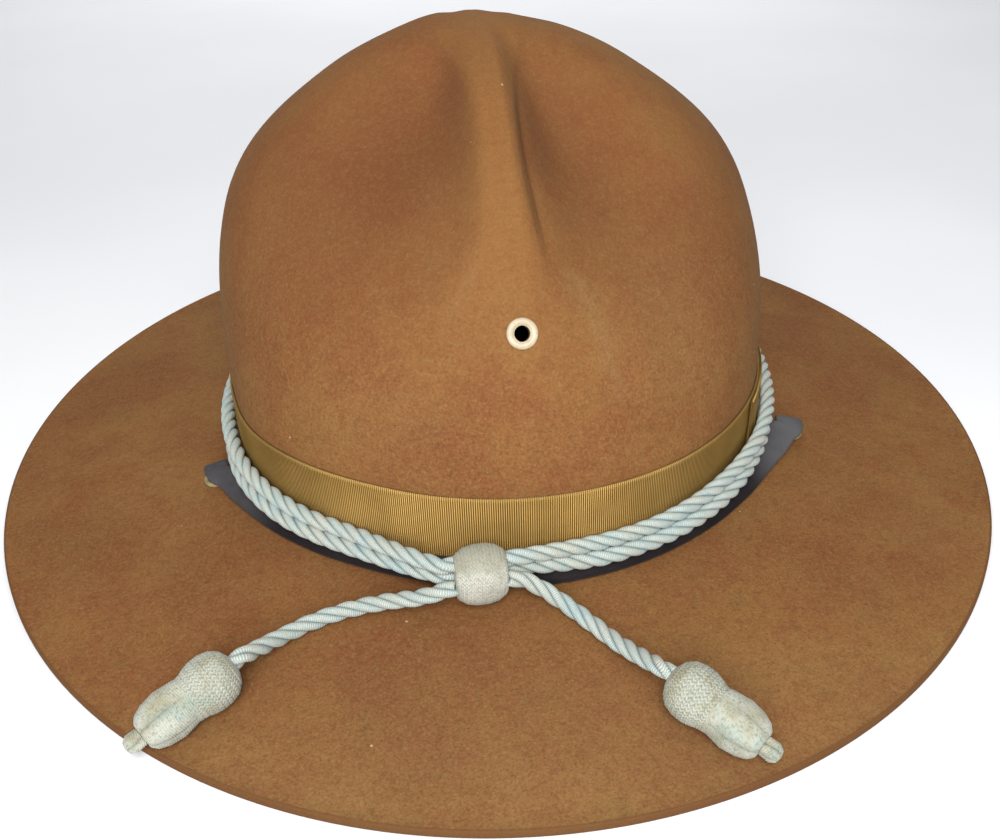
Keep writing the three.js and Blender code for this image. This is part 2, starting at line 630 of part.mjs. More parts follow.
add('felt_body', feltBody(), felt);
add('hatband', hatband(), grosgrain);
const bowFace = GAP + BOW.thick;
add('hatband_bow', curvedSlab(BOW.from, BOW.to, GAP, bowFace, BOW.low, BOW.high), grosgrain);
const wrapFace = bowFace + GAP + BOW_WRAP.thick;
add('bow_wrap', curvedSlab(
  BOW_WRAP.from, BOW_WRAP.to, bowFace + GAP, wrapFace, BOW.low, BOW.high,
), grosgrain);
for (const { name, size, seat } of EYELET_SEATS) {
  add(name, eyelet(size, seat), enamel);
}
add('chin_strap', chinStrap(), leather);
add('hat_cord_upper', cordTurn('high', 'highHeight', 0.6, 3.6), cordSilk);
add('hat_cord_lower', cordTurn('low', 'lowHeight', 2, -0.8), cordSilk);
add('cord_keeper', keeper(), weave);
for (const [side, route, end] of [
  ['left', LEFT_ROUTE, LEFT_ACORN_END], ['right', RIGHT_ROUTE, RIGHT_ACORN_END],
]) {
  add(`cord_end_${side}`, freeEnd(route), cordSilk);
  const pieces = acorn(route, end);
  for (const [part, geometry] of Object.entries(pieces)) {
    add(`acorn_${part}_${side}`, geometry, weave);
  }
}

export default hat;
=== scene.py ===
import math

import bpy
import numpy as np
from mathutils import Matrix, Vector


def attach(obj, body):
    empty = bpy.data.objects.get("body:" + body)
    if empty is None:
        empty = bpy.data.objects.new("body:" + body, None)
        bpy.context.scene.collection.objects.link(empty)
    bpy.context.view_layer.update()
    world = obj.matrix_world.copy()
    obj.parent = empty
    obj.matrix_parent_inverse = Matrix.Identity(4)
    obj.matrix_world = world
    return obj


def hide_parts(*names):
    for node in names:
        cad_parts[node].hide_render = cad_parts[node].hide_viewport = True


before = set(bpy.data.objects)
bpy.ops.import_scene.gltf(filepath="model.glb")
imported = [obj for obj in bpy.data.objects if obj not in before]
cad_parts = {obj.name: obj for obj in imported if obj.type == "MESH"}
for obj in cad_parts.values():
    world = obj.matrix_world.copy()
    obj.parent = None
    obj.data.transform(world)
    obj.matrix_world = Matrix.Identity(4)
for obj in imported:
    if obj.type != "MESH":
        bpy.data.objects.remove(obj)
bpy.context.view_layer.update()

# Lengths below are in millimetres; angles round the crown are counted from the front (0 degrees)
# through +X (90), the back (180) and -X (270).
MM = 0.001

# Camera

camera = bpy.data.objects.new("camera", bpy.data.cameras.new("camera"))
bpy.context.scene.collection.objects.link(camera)
bpy.context.scene.camera = camera
camera.location = (-0.030646, -0.350322, 0.215763)
camera.rotation_euler = [math.radians(angle) for angle in (59.1909, 1.0437, -7.1752)]
camera.data.sensor_width = 36
camera.data.lens = 42.277
camera.data.shift_x = -0.0230
camera.data.shift_y = -0.0059
camera.data.clip_start = 0.01

# The hat's sizes

FELT = 2.5
GAP = 0.3
BRIM = (161, 175, 0, 0)  # half-width, half-length, middle x and y
BAND = (86.7, 97, 0.3, -3.7)
DROOP = 10.5
RIM_LAND = 0.04
FOOT_RADIUS = 2.5
BAND_LOW = 2.2
BAND_HIGH = 26.5
RIB_PITCH = 0.6
THREAD_PITCH = 0.33
WALL_HIGH = 29
CINCH = 1.6
FOOT = FELT + DROOP
LEAN = -0.025
PEAK_HEIGHT = 128.2
# How far the crown's foot stands outside the hatband's oval, every 15 degrees from the front
SWELL = np.array([
    -0.1, 0.1, 0.3, 0.2, -0.2, -1, -1.5, -1.4, -0.9, -0.4, -0.1, 0,
    0, 0, 0, 0, 0, -0.3, -0.5, 0.6, 2.25, 1, -0.5, -0.5,
])
SWELL_TOP = 58
CROWN = {
    "height": [29, 45, 58, 70, 82, 93, 103, 112, 119, 124.5, 127.4],
    "side": [85.4, 85.2, 83.9, 81.2, 76.6, 69.6, 60.2, 48.8, 37.8, 25.2, 13],
    "front": [95.7, 91.8, 87.3, 81.8, 75.2, 67, 57.6, 46.6, 36.2, 24.4, 12.6],
    "back": [95.7, 94.2, 91.3, 87.2, 81, 73, 62.8, 50.6, 39.2, 26.6, 13.6],
    "dent": [0, 0.4, 1.8, 4.6, 8.6, 12.4, 14.4, 13, 9.4, 4.6, 1],
    "drop": [0, 0, 0, 0.5, 1.5, 3, 4.6, 5.2, 4.4, 2.2, 0.5],
    "blunt": [1.2, 1.2, 1, 0.8, 0.55, 0.42, 0.36, 0.34, 0.4, 0.6, 1],
}
CROWN = {name: np.array(values, float) for name, values in CROWN.items()}
LAST_ROW = len(CROWN["height"]) - 1
# The dents by quarter: how near the front or back ridge, how deep, how sharp the ridge's edge is
# there (1 is as blunt as the table says) and how wide the ridge's crest is on that side.
DENT_NEAR = np.array([1, 0.6, 0.6, 0.45])
DENT_DEEP = np.array([1.12, 1, 1, 1])
DENT_SHARP = np.array([0.5, 0.8, 0.8, 0.9])
DENT_CREST = np.array([2.4, 1.0, 1.0, 1.2])
SIDE_BLUNT = 0.7

CORD = 4.2
TURNS = {
    "angle": [10, 25, 38, 47, 55, 68, 78, 88, 97, 107, 116, 127, 180, 260, 284, 295, 303, 312, 328],
    "low": [
        4.9, 4.9, 5, 4.6, 4.1, 3.6, 3.6, 4.3, 4.5, 3.8, 3.2, 2.5, 2.5, 2.5, 2.6, 3.6, 4.5, 5, 5,
    ],
    "low_height": [
        6.6, 6.8, 7.9, 8.9, 9.8, 10.2, 10, 9.4, 8.6, 7.8, 7.1, 6.4, 5, 7.4, 9, 9.4, 8.8, 7.4, 6.6,
    ],
    "high": [
        2.5, 2.5, 2.6, 3.1, 3.6, 3.6, 3.6, 4.3, 4.5, 3.8, 3.2, 2.5, 2.5, 2.5, 2.5, 2.5, 2.6, 2.7, 2.7,
    ],
    "high_height": [
        11, 11.2, 12.2, 13.3, 14.4, 14.8, 14.6, 14, 13.2, 12.4, 11.7, 11, 9.6, 12, 13.5, 13.8, 13,
        11.5, 10.9,
    ],
}
TURNS = {name: np.array(values, float) for name, values in TURNS.items()}
TURN_STEP = 7
KEEPER = {"x": -14.8, "y": -107.6, "height": 9.4, "turn": 3, "half": 7.0, "depth": 6.6, "tall": 8.8}
LEFT_ROUTE = [
    (-22.4, -110.4, 7.9), (-25.4, -110.6, 7.2), (-31, -109.4, 5), (-37, -107, 2.8),
    (-44.6, -105.6, 1), (-52.4, -106, -0.2), (-60.2, -108.2, -1), (-66.1, -111.6, -1.1),
    (-70, -115.6, 0.1), (-73.5, -120.4, 2.1), (-76.2, -123.6, 3.3), (-77.9, -124.7, 2.8),
]
RIGHT_ROUTE = [
    (-7.2, -109.7, 8.6), (-4.2, -109.6, 8), (0.5, -110.8, 5.6), (5, -113.1, 3), (9.3, -116.6, 1),
    (13.3, -121.3, -0.1), (17.1, -127.1, -0.3), (20.6, -132.9, 0.5), (23.3, -138.3, 2.2),
    (25.9, -143.3, 3.8), (27.4, -144.8, 3.3),
]
LEFT_ACORN_END = (-102.9, -140.7, -6.4)
RIGHT_ACORN_END = (49.2, -166.6, -5.9)
ACORN = {"cap": 13.5, "cap_radius": 7.8, "body": 12.8, "body_radius": 6.6, "neck": 4.7, "tip": 4.4}
TIP_RADIUS = 2.5

FRONT_EYELET = {"angle": 0.4, "height": 68}
BRIM_EYELET = {"angle": 73, "offset": 8, "bow": 1.6}
STRAP_THICK = 1.5
# The strap over the brim, with what the bow's side adds in the last three columns
STRAP_RUN = {
    "angle": [0, 30, 45, 55, 60, 65, 69],
    "offset": [2.6, 2.6, 3, 3.5, 4.1, 5.4, 7.0],
    "height": [3.9, 3.9, 3.8, 3.7, 3.6, 3.2, 2.8],
    "lean": [23, 23, 27, 30, 32, 40, 54],
    "width": [7.8, 7.8, 7.8, 7.8, 7.8, 7.8, 7],
    "bow_offset": [0, 0, 0.6, 1.5, 2.1, 2.5, 2.7],
    "bow_lean": [0, 0, 0, 6, 14, 22, 20],
    "bow_width": [0, 0, 0, 0, 0.3, 1.4, 2.6],
}
STRAP_RUN = {name: np.array(values, float) for name, values in STRAP_RUN.items()}
# The strap's way down through a brim eyelet and under the brim: how far past the eyelet, height
# above the brim, lean and width, with what the bow's side adds in the last three columns
STRAP_PASSAGE = {
    "along": [-3.2, 1.2, 2.7, 2.5, 1.3, 1.2, 1.7857864, 3.2, 6.2],
    "height": [4, 4, 3.4, 1.9, 0.8, -3.4, -4.8142136, -5.4, -5.4],
    "lean": [72, 82, 82, 82, 82, 82, 82, 82, 82],
    "width": [7.4, 7.6, 7, 5.4, 4.4, 4.4, 4.4, 4.4, 6],
    "bow_along": [0, 0, 0.33, 0, 0, 0, 0, 0, 0],
    "bow_lean": [6, 0, 0, 0, 0, 0, 0, 0, 0],
    "bow_width": [1.1, 1.1, 1.1, 0, 0, 0, 0, 0, 0],
}
STRAP_UNDER = {"height": -5.4, "lean": 82, "width": 7.8}

# Shape functions


def blend(before, start, end, after, t):
    """Smooth curve between the middle two of four numbers."""
    first = (end - before) / 2
    last = (after - start) / 2
    step = end - start
    return start + t * (first + t * (3 * step - 2 * first - last + t * (first + last - 2 * step)))


def smooth_column(values, place):
    """Smooth curve through a column of a table, at row numbers that may lie between two rows."""
    last = len(values) - 1
    row = np.clip(np.floor(place).astype(int), 0, last - 1)
    near = [values[np.clip(row + k, 0, last)] for k in (-1, 0, 1, 2)]
    return blend(*near, place - row)


def swell(degrees):
    place = np.mod(np.asarray(degrees, float), 360) * len(SWELL) / 360
    row = np.floor(place).astype(int)
    return blend(*(SWELL[(row + k) % len(SWELL)] for k in (-1, 0, 1, 2)), place - row)


def smooth_step(value, low, high):
    t = np.clip((value - low) / (high - low), 0, 1)
    return t * t * (3 - 2 * t)


def bell(value, width):
    return np.exp(-((value / width) ** 2))


def rows_at_angle(table, degrees):
    angles = table["angle"]
    index = np.clip(np.searchsorted(angles, degrees) - 1, 0, len(angles) - 2)
    place = index + (degrees - angles[index]) / (angles[index + 1] - angles[index])
    return {name: smooth_column(values, place) for name, values in table.items()}


def oval_point(oval, degrees, offset=0.0, z=0.0):
    angle = np.radians(np.asarray(degrees, float))
    x = oval[2] + (oval[0] + offset) * np.sin(angle)
    y = oval[3] - (oval[1] + offset) * np.cos(angle)
    return np.stack(np.broadcast_arrays(x, y, z), -1)


def band_point(degrees, offset, height):
    """Point outside the hatband's face, at a height above the crown's foot."""
    height = np.asarray(height, float)
    inset = CINCH * np.maximum(0, WALL_HIGH - height) / WALL_HIGH
    return oval_point(BAND, degrees, offset - inset + swell(degrees), FOOT + height)


def outward(degrees):
    angle = np.radians(np.asarray(degrees, float))
    v = np.stack([np.sin(angle) / BAND[0], -np.cos(angle) / BAND[1], np.zeros_like(angle)], -1)
    return v / np.linalg.norm(v, axis=-1, keepdims=True)


def brim_drop(degrees, offset):
    foot = oval_point(BAND, degrees)
    reach = np.linalg.norm(oval_point(BRIM, degrees) - foot, axis=-1)
    return -DROOP * offset / reach


def dent_share(degrees, blunt, radius):
    """How deep the dents are at an angle, from 0 on a ridge to 1 at a dent's deepest line."""
    turn = np.mod(degrees, 360) / 90
    quarter = np.floor(turn).astype(int) % 4
    inside = turn - np.floor(turn)
    way = np.where(quarter % 2 == 0, inside, 1 - inside)
    flat = DENT_CREST[quarter] / (radius * math.pi / 2)
    way = np.clip((way - flat) / (1 - flat), 0, 1)
    wave = np.sin(math.pi * way * (1 + DENT_NEAR[quarter] * (1 - way)))
    soft = blunt * DENT_SHARP[quarter] + SIDE_BLUNT * way * way
    return DENT_DEEP[quarter] * (np.hypot(wave, soft) - soft) / (np.hypot(1, soft) - soft)


def crown_point(place, degrees):
    """Points of the crown's outer face, with how deep in a dent each lies."""
    row = {name: smooth_column(values, place) for name, values in CROWN.items()}
    angle = np.radians(degrees)
    reach = np.where(np.cos(angle) > 0, row["front"], row["back"])
    share = dent_share(degrees, row["blunt"], row["front"])
    inward = row["dent"] * share / row["side"]
    height = row["height"] - row["drop"] * share
    middle = BAND[2] + LEAN * (height - WALL_HIGH)
    swelling = (1 - smooth_step(height, WALL_HIGH, SWELL_TOP)) * swell(degrees)
    x = middle + (row["side"] * (1 - inward) + swelling) * np.sin(angle)
    y = BAND[3] - (reach * (1 - inward) + swelling) * np.cos(angle)
    return np.stack(np.broadcast_arrays(x, y, FOOT + height), -1), share * row["dent"] / 14


def unit(v):
    v = np.asarray(v, float)
    return v / np.maximum(np.linalg.norm(v, axis=-1, keepdims=True), 1e-9)


def run_along(points):
    """How far along a line each of its points lies."""
    return np.concatenate([[0], np.cumsum(np.linalg.norm(np.diff(points, axis=0), axis=1))])


def spline(points, step):
    """Evenly spaced points on a smooth curve through the given ones."""
    p = np.asarray(points, float)
    p = np.vstack([2 * p[0] - p[1], p, 2 * p[-1] - p[-2]])
    out = []
    for i in range(1, len(p) - 2):
        t0, t1 = 0, np.linalg.norm(p[i] - p[i - 1]) ** 0.5
        t2 = t1 + np.linalg.norm(p[i + 1] - p[i]) ** 0.5
        t3 = t2 + np.linalg.norm(p[i + 2] - p[i + 1]) ** 0.5
        t = np.linspace(t1, t2, 24, endpoint=False)[:, None]
        a1 = (t1 - t) / (t1 - t0) * p[i - 1] + (t - t0) / (t1 - t0) * p[i]
        a2 = (t2 - t) / (t2 - t1) * p[i] + (t - t1) / (t2 - t1) * p[i + 1]
        a3 = (t3 - t) / (t3 - t2) * p[i + 1] + (t - t2) / (t3 - t2) * p[i + 2]
        b1 = (t2 - t) / (t2 - t0) * a1 + (t - t0) / (t2 - t0) * a2
        b2 = (t3 - t) / (t3 - t1) * a2 + (t - t1) / (t3 - t1) * a3
        out.append((t2 - t) / (t2 - t1) * b1 + (t - t1) / (t2 - t1) * b2)
    dense = np.vstack([*out, p[-2][None]])
    run = run_along(dense)
    count = max(2, round(run[-1] / step) + 1)
    at = np.linspace(0, run[-1], count)
    return np.stack([np.interp(at, run, dense[:, i]) for i in range(3)], 1)


def frames(points):
    """Two directions across a line that don't twist along it."""
    tangent = unit(np.gradient(points, axis=0))
    side = np.zeros_like(points)
    side[0] = unit(np.cross(tangent[0], (0, 0, 1)))
    for i in range(1, len(points)):
        side[i] = unit(side[i - 1] - tangent[i] * np.dot(side[i - 1], tangent[i]))
    return side, np.cross(tangent, side)


# Meshes


def make_mesh(name, points, faces, uv=None, attributes=None, material=None):
    mesh = bpy.data.meshes.new(name)
    mesh.from_pydata((np.asarray(points) * MM).tolist(), [], faces)
    mesh.shade_smooth()
    if uv is not None:
        layer = mesh.uv_layers.new(name="UVMap")
        index = np.empty(len(mesh.loops), int)
        mesh.loops.foreach_get("vertex_index", index)
        layer.data.foreach_set("uv", np.asarray(uv, float)[index].ravel())
    for key, values in (attributes or {}).items():
        attribute = mesh.attributes.new(key, "FLOAT", "POINT")
        attribute.data.foreach_set("value", np.asarray(values, float).ravel())
    piece = bpy.data.objects.new(name, mesh)
    bpy.context.scene.collection.objects.link(piece)
    if material:
        mesh.materials.append(material)
    return piece


def grid_faces(rows, columns, wrap_columns=True, wrap_rows=False, start=0, flip=False):
    faces = []
    for row in range(rows if wrap_rows else rows - 1):
        a = start + row * columns
        b = start + ((row + 1) % rows) * columns
        for i in range(columns if wrap_columns else columns - 1):
            j = (i + 1) % columns
            faces.append((a + i, a + j, b + j, b + i))
    return [face[::-1] for face in faces] if flip else faces


def uv_grid(u, v):
    """The UV map of a grid from its two directions, which may be a row and a column."""
    return np.stack(np.broadcast_arrays(u, v), -1).reshape(-1, 2)


def capped_faces(rows, columns):
    """Faces of a grid whose two ends are closed round one more point each."""
    size = rows * columns
    first, last = [*range(columns), 0], [*range(size - columns, size), size - columns]
    caps = [(size, b, a) for a, b in zip(first, first[1:])]
    caps += [(size + 1, a, b) for a, b in zip(last, last[1:])]
    return grid_faces(rows, columns) + caps


def adopt(piece, slot, *nodes):
    """The piece rides on the hat and stands for the named nodes, which it hides; slot is not used."""
    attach(piece, "root")
    if nodes:
        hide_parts(*nodes)
    return piece


# Materials


def rgb(r, g, b):
    """Linear colour from display values of 11 to 255."""
    return *(((value / 255 + 0.055) / 1.055) ** 2.4 for value in (r, g, b)), 1


class Look:
    """A node material with short calls for the nodes that it needs."""

    def __init__(self, name, **sockets):
        self.material = bpy.data.materials.new(name)
        self.material.use_nodes = True
        self.tree = self.material.node_tree
        self.shader = self.tree.nodes["Principled BSDF"]
        self.colour = None
        for key, value in sockets.items():
            self.shader.inputs[key.replace("_", " ")].default_value = value

    def node(self, kind, feeds=None, **settings):
        """A new node with its settings and what feeds its sockets."""
        made = self.tree.nodes.new("ShaderNode" + kind)
        for key, value in settings.items():
            setattr(made, key, value)
        for key, value in (feeds or {}).items():
            self.feed(made.inputs[key], value)
        return made

    def feed(self, socket, value):
        if hasattr(value, "is_linked"):
            self.tree.links.new(value, socket)
        else:
            socket.default_value = value

    def place(self, kind="Object", scale=(1, 1, 1)):
        where = self.node("TexCoord").outputs[kind]
        return self.node("Mapping", {"Vector": where, "Scale": scale}).outputs["Vector"]

    def uv(self):
        """The two directions of the piece's UV map."""
        split = self.node("SeparateXYZ", {0: self.place("UV")})
        return split.outputs["X"], split.outputs["Y"]

    def attribute(self, name):
        return self.node("Attribute", attribute_name=name).outputs["Fac"]

    def noise(self, vector, scale, detail=2.0, rough=0.5):
        feeds = {"Vector": vector, "Scale": scale, "Detail": detail, "Roughness": rough}
        return self.node("TexNoise", feeds).outputs["Fac"]

    def voronoi(self, vector, scale):
        return self.node("TexVoronoi", {"Vector": vector, "Scale": scale}).outputs

    def specks(self, vector, scale, size, share):
        """1 in specks of a size, in a share of the cells of a scale."""
        cells = self.voronoi(vector, scale)
        chosen = self.node("SeparateColor", {0: cells["Color"]})
        there = self.math("LESS_THAN", chosen.outputs[0], share)
        return self.times(there, self.steps(cells["Distance"], size, size * 0.6))

    def steps(self, value, low, high, out_low=0.0, out_high=1.0):
        feeds = {"Value": value, "From Min": low, "From Max": high, "To Min": out_low, "To Max": out_high}
        return self.node("MapRange", feeds, interpolation_type="SMOOTHSTEP").outputs["Result"]

    def math(self, operation, a, b=0.0):
        return self.node("Math", {0: a, 1: b}, operation=operation).outputs["Value"]

    def times(self, a, b):
        return self.math("MULTIPLY", a, b)

    def wave(self, turn):
        """A sine wave between 0 and 1."""
        return self.math("ADD", self.times(self.math("SINE", turn), 0.5), 0.5)

    def mix(self, share, a, b):
        return self.node("Mix", {0: share, 6: a, 7: b}, data_type="RGBA").outputs[2]

    def lay(self, share, shade):
        """Lays a share of a shade over the colour."""
        self.colour = self.mix(share, self.colour, shade)

    def mark(self, name, share, shade):
        """Lays a shade over the colour where the mesh's attribute of that name says."""
        self.lay(self.times(self.attribute(name), share), shade)

    def cloud(self, cloud, start, full, share, shade):
        """Lays up to a share of a shade over the colour where a cloud goes from start to full."""
        self.lay(self.steps(cloud, start, full, 0, share), shade)

    def bump(self, height, strength, distance, under=None):
        feeds = {"Strength": strength, "Distance": distance, "Height": height}
        if under is not None:
            feeds["Normal"] = under
        return self.node("Bump", feeds).outputs["Normal"]

    def out(self, normal):
        self.feed(self.shader.inputs["Base Color"], self.colour)
        self.feed(self.shader.inputs["Normal"], normal)
        return self.material


def felt_look():
    look = Look("felt", Roughness=0.95, Sheen_Weight=0.06, Sheen_Roughness=0.4, Specular_IOR_Level=0.05)
    look.shader.inputs["Sheen Tint"].default_value = rgb(188, 169, 136)
    where = look.place()
    broad = look.noise(where, 20, 3, 0.55)
    patch = look.noise(where, 70, 4, 0.6)
    mottle = look.noise(where, 330, 3, 0.6)
    tint = look.noise(look.place("Object", (1.3, 1.1, 1.2)), 520, 2, 0.5)
    grain = look.noise(where, 1300, 3, 0.7)
    fibre = look.noise(where, 3000, 2, 0.7)
    look.colour = look.mix(look.steps(broad, 0.32, 0.68), rgb(105, 67, 39), rgb(117, 81, 46))
    look.cloud(patch, 0.45, 0.7, 0.5, rgb(106, 61, 37))
    look.cloud(patch, 0.48, 0.25, 0.4, rgb(107, 80, 45))
    # Painted highlight: lighter colour along the ridges' crests.
    look.mark("ridge", 0.7, rgb(122, 84, 46))
    # Painted shade in the crown's dents, heavier on the left side.
    look.mark("dent", 0.7, rgb(91, 52, 31))
    # Dust and painted highlight: dusty patches, light streaks along the folds beside the ridge, and a brim
    # that grows lighter towards its front edge.
    look.mark("dust_and_highlight", 0.28, rgb(130, 106, 70))
    nap_and_top_shade = look.attribute("nap_and_top_shade")
    # Painted shade: the felt darkens towards the top of the crown.
    look.lay(look.times(look.math("SUBTRACT", 1.0, nap_and_top_shade), 0.5), rgb(92, 60, 36))
    for cloud, start, full, share, shade in (
        (mottle, 0.42, 0.7, 0.3, rgb(90, 54, 32)),
        (tint, 0.45, 0.72, 0.3, rgb(114, 92, 52)),
        (grain, 0.52, 0.3, 0.42, rgb(70, 43, 25)),
        (grain, 0.52, 0.72, 0.32, rgb(144, 108, 70)),
        (fibre, 0.58, 0.8, 0.42, rgb(158, 126, 87)),
        (fibre, 0.42, 0.22, 0.38, rgb(56, 35, 21)),
    ):
        look.lay(look.times(nap_and_top_shade, look.steps(cloud, start, full, 0, share)), shade)
    lint = look.times(look.specks(where, 110, 0.05, 0.15), 0.55)
    look.lay(lint, rgb(178, 160, 130))
    # Painted shade: a dark line in the crease beside the front ridge.
    look.mark("fold", 0.6, rgb(58, 33, 18))
    look.mark("cut", 0.8, rgb(86, 58, 35))
    normal = None
    for cloud, strength, distance in (
        (patch, 0.2, 0.0012), (mottle, 0.35, 0.0005), (grain, 0.6, 0.0003), (fibre, 0.45, 0.00016),
    ):
        normal = look.bump(cloud, strength, distance, normal)
    return look.out(normal)


def ribbon_look():
    look = Look(
        "ribbon", Metallic=0.7, Roughness=0.6, Specular_IOR_Level=0.6,
        Anisotropic=0.9, Anisotropic_Rotation=0.25,
    )
    look.shader.inputs["Specular Tint"].default_value = rgb(255, 226, 160)
    along, up = look.uv()
    ribs = look.wave(look.times(along, 2 * math.pi / RIB_PITCH))
    threads = look.math("SINE", look.times(up, 2 * math.pi / THREAD_PITCH))
    patch = look.noise(look.place(), 60, 3)
    uneven = look.noise(look.place("UV", (1.7, 0.02, 1)), 1.0, 2)
    # Painted shade between the ribs and painted highlight on their crests.
    look.colour = look.mix(ribs, rgb(70, 51, 18), rgb(206, 166, 96))
    look.cloud(patch, 0.35, 0.7, 0.35, rgb(100, 76, 32))
    look.cloud(uneven, 0.5, 0.75, 0.3, rgb(164, 130, 70))
    # Painted shade on the ribbon's inside faces and along its lower edge's turn.
    look.mark("groove_shade", 0.75, rgb(60, 44, 18))
    look.mark("selvage", 0.35, rgb(190, 156, 96))
    height = look.math("ADD", ribs, look.times(threads, 0.1))
    return look.out(look.bump(height, 0.9, 0.00014))


def cord_look():
    look = Look("cord", Roughness=0.75, Sheen_Weight=0.1, Sheen_Roughness=0.4, Specular_IOR_Level=0.15)
    along, around = look.uv()
    ribs = look.wave(look.times(look.math("ADD", look.times(along, 2), around), 2 * math.pi))
    patch = look.noise(look.place(), 90, 3)
    blue = look.noise(look.place("Object", (1.1, 1.2, 1)), 160, 3)
    fuzz = look.noise(look.place(), 2000, 2, 0.7)
    look.colour = look.mix(look.steps(patch, 0.4, 0.66), rgb(172, 179, 172), rgb(178, 176, 162))
    look.cloud(blue, 0.45, 0.72, 0.6, rgb(146, 166, 168))
    # Painted shade in the troughs of the strands' fine ribs.
    look.lay(look.times(look.math("SUBTRACT", 1.0, ribs), 0.6), rgb(98, 118, 118))
    look.cloud(fuzz, 0.48, 0.25, 0.45, rgb(96, 112, 112))
    look.cloud(fuzz, 0.58, 0.8, 0.4, rgb(196, 200, 192))
    # Painted shade in the grooves between the strands.
    look.mark("groove_shade", 0.9, rgb(70, 96, 98))
    height = look.math("ADD", ribs, look.times(fuzz, 0.8))
    return look.out(look.bump(height, 0.8, 0.00014))


def weave_look(name, light, dark, edge, cool):
    """Knitted yarn: its lit and shaded colours, its soiled one, also painted as shade on the flanks, and its
    bluish one.
    """
    look = Look(name, Roughness=0.8, Sheen_Weight=0.12, Sheen_Roughness=0.5, Specular_IOR_Level=0.15)
    patch = look.noise(look.place(), 150, 3)
    fuzz = look.noise(look.place(), 2400, 2, 0.7)
    cloud = look.noise(look.place("Object", (1, 1.3, 0.9)), 130, 2)
    speckle = look.noise(look.place(), 1500, 2, 0.6)
    look.colour = light
    look.cloud(patch, 0.42, 0.72, 0.7, edge)
    look.cloud(cloud, 0.5, 0.68, 0.6, cool)
    # Painted shade on two opposite sides, the keeper's top and bottom, in the soiled colour.
    look.mark("flank_shade", 0.75, edge)
    look.cloud(speckle, 0.52, 0.3, 0.5, dark)
    look.cloud(fuzz, 0.45, 0.25, 0.4, dark)
    # Painted shade in the knit's low places.
    look.mark("groove_shade", 0.75, dark)
    return look.out(look.bump(speckle, 0.5, 0.00015))


def leather_look():
    look = Look("leather", Roughness=0.7, Specular_IOR_Level=0.18)
    where = look.place()
    pores = look.voronoi(where, 1500)["Distance"]
    patch = look.noise(where, 90, 4, 0.6)
    scratch = look.noise(look.place("UV", (0.15, 2.4, 1)), 1.0, 3, 0.6)
    # Scuffing and painted light: the strap turns lighter grey towards its ends, where they lie up on the
    # brim.
    rubbed_and_lit = look.times(look.attribute("worn_and_lit"), look.steps(patch, 0.1, 0.6, 0.4, 0.9))
    look.colour = look.mix(look.steps(patch, 0.3, 0.7), rgb(17, 13, 15), rgb(25, 21, 23))
    look.lay(rubbed_and_lit, rgb(80, 79, 81))
    look.cloud(scratch, 0.6, 0.78, 0.25, rgb(70, 66, 66))
    look.mark("edge", 0.25, rgb(78, 72, 70))
    height = look.math("ADD", look.times(pores, 0.7), patch)
    return look.out(look.bump(height, 0.5, 0.0002))


def enamel_look(name, light, dark):
    look = Look(name, Roughness=0.45, Specular_IOR_Level=0.35)
    where = look.place()
    patch = look.noise(where, 260, 4, 0.6)
    chips = look.noise(where, 900, 3, 0.6)
    look.colour = look.mix(look.steps(patch, 0.35, 0.7), light, dark)
    look.cloud(chips, 0.66, 0.72, 0.8, rgb(120, 90, 54))
    return look.out(look.bump(patch, 0.2, 0.0002))


def sheet_look():
    look = Look("sheet", Roughness=0.9, Specular_IOR_Level=0.1)
    where = look.place()
    patch = look.steps(look.noise(where, 5, 3), 0.3, 0.7)
    look.colour = look.mix(patch, rgb(212, 213, 216), rgb(217, 217, 219))
    return look.out(look.bump(look.noise(where, 9, 2), 0.15, 0.004))


FELT_LOOK = felt_look()
RIBBON_LOOK = ribbon_look()
CORD_LOOK = cord_look()
KEEPER_LOOK = weave_look(
    "keeper_weave", rgb(176, 175, 165), rgb(106, 104, 88), rgb(128, 127, 110), rgb(160, 168, 160),
)
ACORN_LOOK = weave_look(
    "acorn_weave", rgb(160, 161, 149), rgb(84, 87, 74), rgb(128, 122, 92), rgb(134, 148, 140),
)
LEATHER_LOOK = leather_look()
ENAMEL_LOOK = enamel_look("enamel", rgb(170, 158, 136), rgb(154, 140, 114))
DULL_LOOK = enamel_look("enamel_dull", rgb(138, 126, 92), rgb(112, 98, 66))

# Felt

COLUMNS = 360
BRIM_ROWS = 40
CROWN_ROWS = 130
CAP_RISE = (0.12, 0.25, 0.4, 0.55, 0.7, 0.85, 0.95)
# Rows round the brim's cut edge: how far in from the rim, and their height
EDGE_ROWS = ((0.45, 0), (0.14, 0.12), (0, 0.5), (0, 1.2), (0, 2.0), (0.14, 2.38), (0.45, 2.5))
RIDGE_CLOSER = (0.3, 0.55, 0.55, 0.3)
# The front ridge's two edges and how soft the left one is: heights and x, or heights and widths
RIDGE_LEFT = (
    [70, 78, 84, 90, 96, 103, 111, 118, 126, 133, 138],
    [-32, -26, -21, -17, -13.5, -10.8, -9.8, -9.2, -8.8, -9, -14],
)
RIDGE_RIGHT = (
    [70, 78, 84, 90, 96, 103, 109, 114, 119, 125, 130, 138],
    [16, 13.2, 11.2, 9.6, 8.4, 6.9, 5.9, 5.2, 4.9, 5.2, 5.8, 9],
)
RIDGE_SOFT = ([76, 92, 112], [9, 4, 1.9])
# Light streaks of painted highlight along the folds beside the ridge (heights, x, share) and dusty places
# (x, z, width, height, share)
STREAKS = (
    ([58, 65, 76.5, 83, 89, 93], [27, 24.5, 21, 19, 16, 12], 0.8),
    ([80, 84, 94, 99], [-20, -18.2, -11.9, -9.5], 0.5),
)
DUSTY = ((44, 68, 9, 13, 0.6), (36, 84, 10, 9, 0.35), (-30, 60, 12, 10, 0.25))
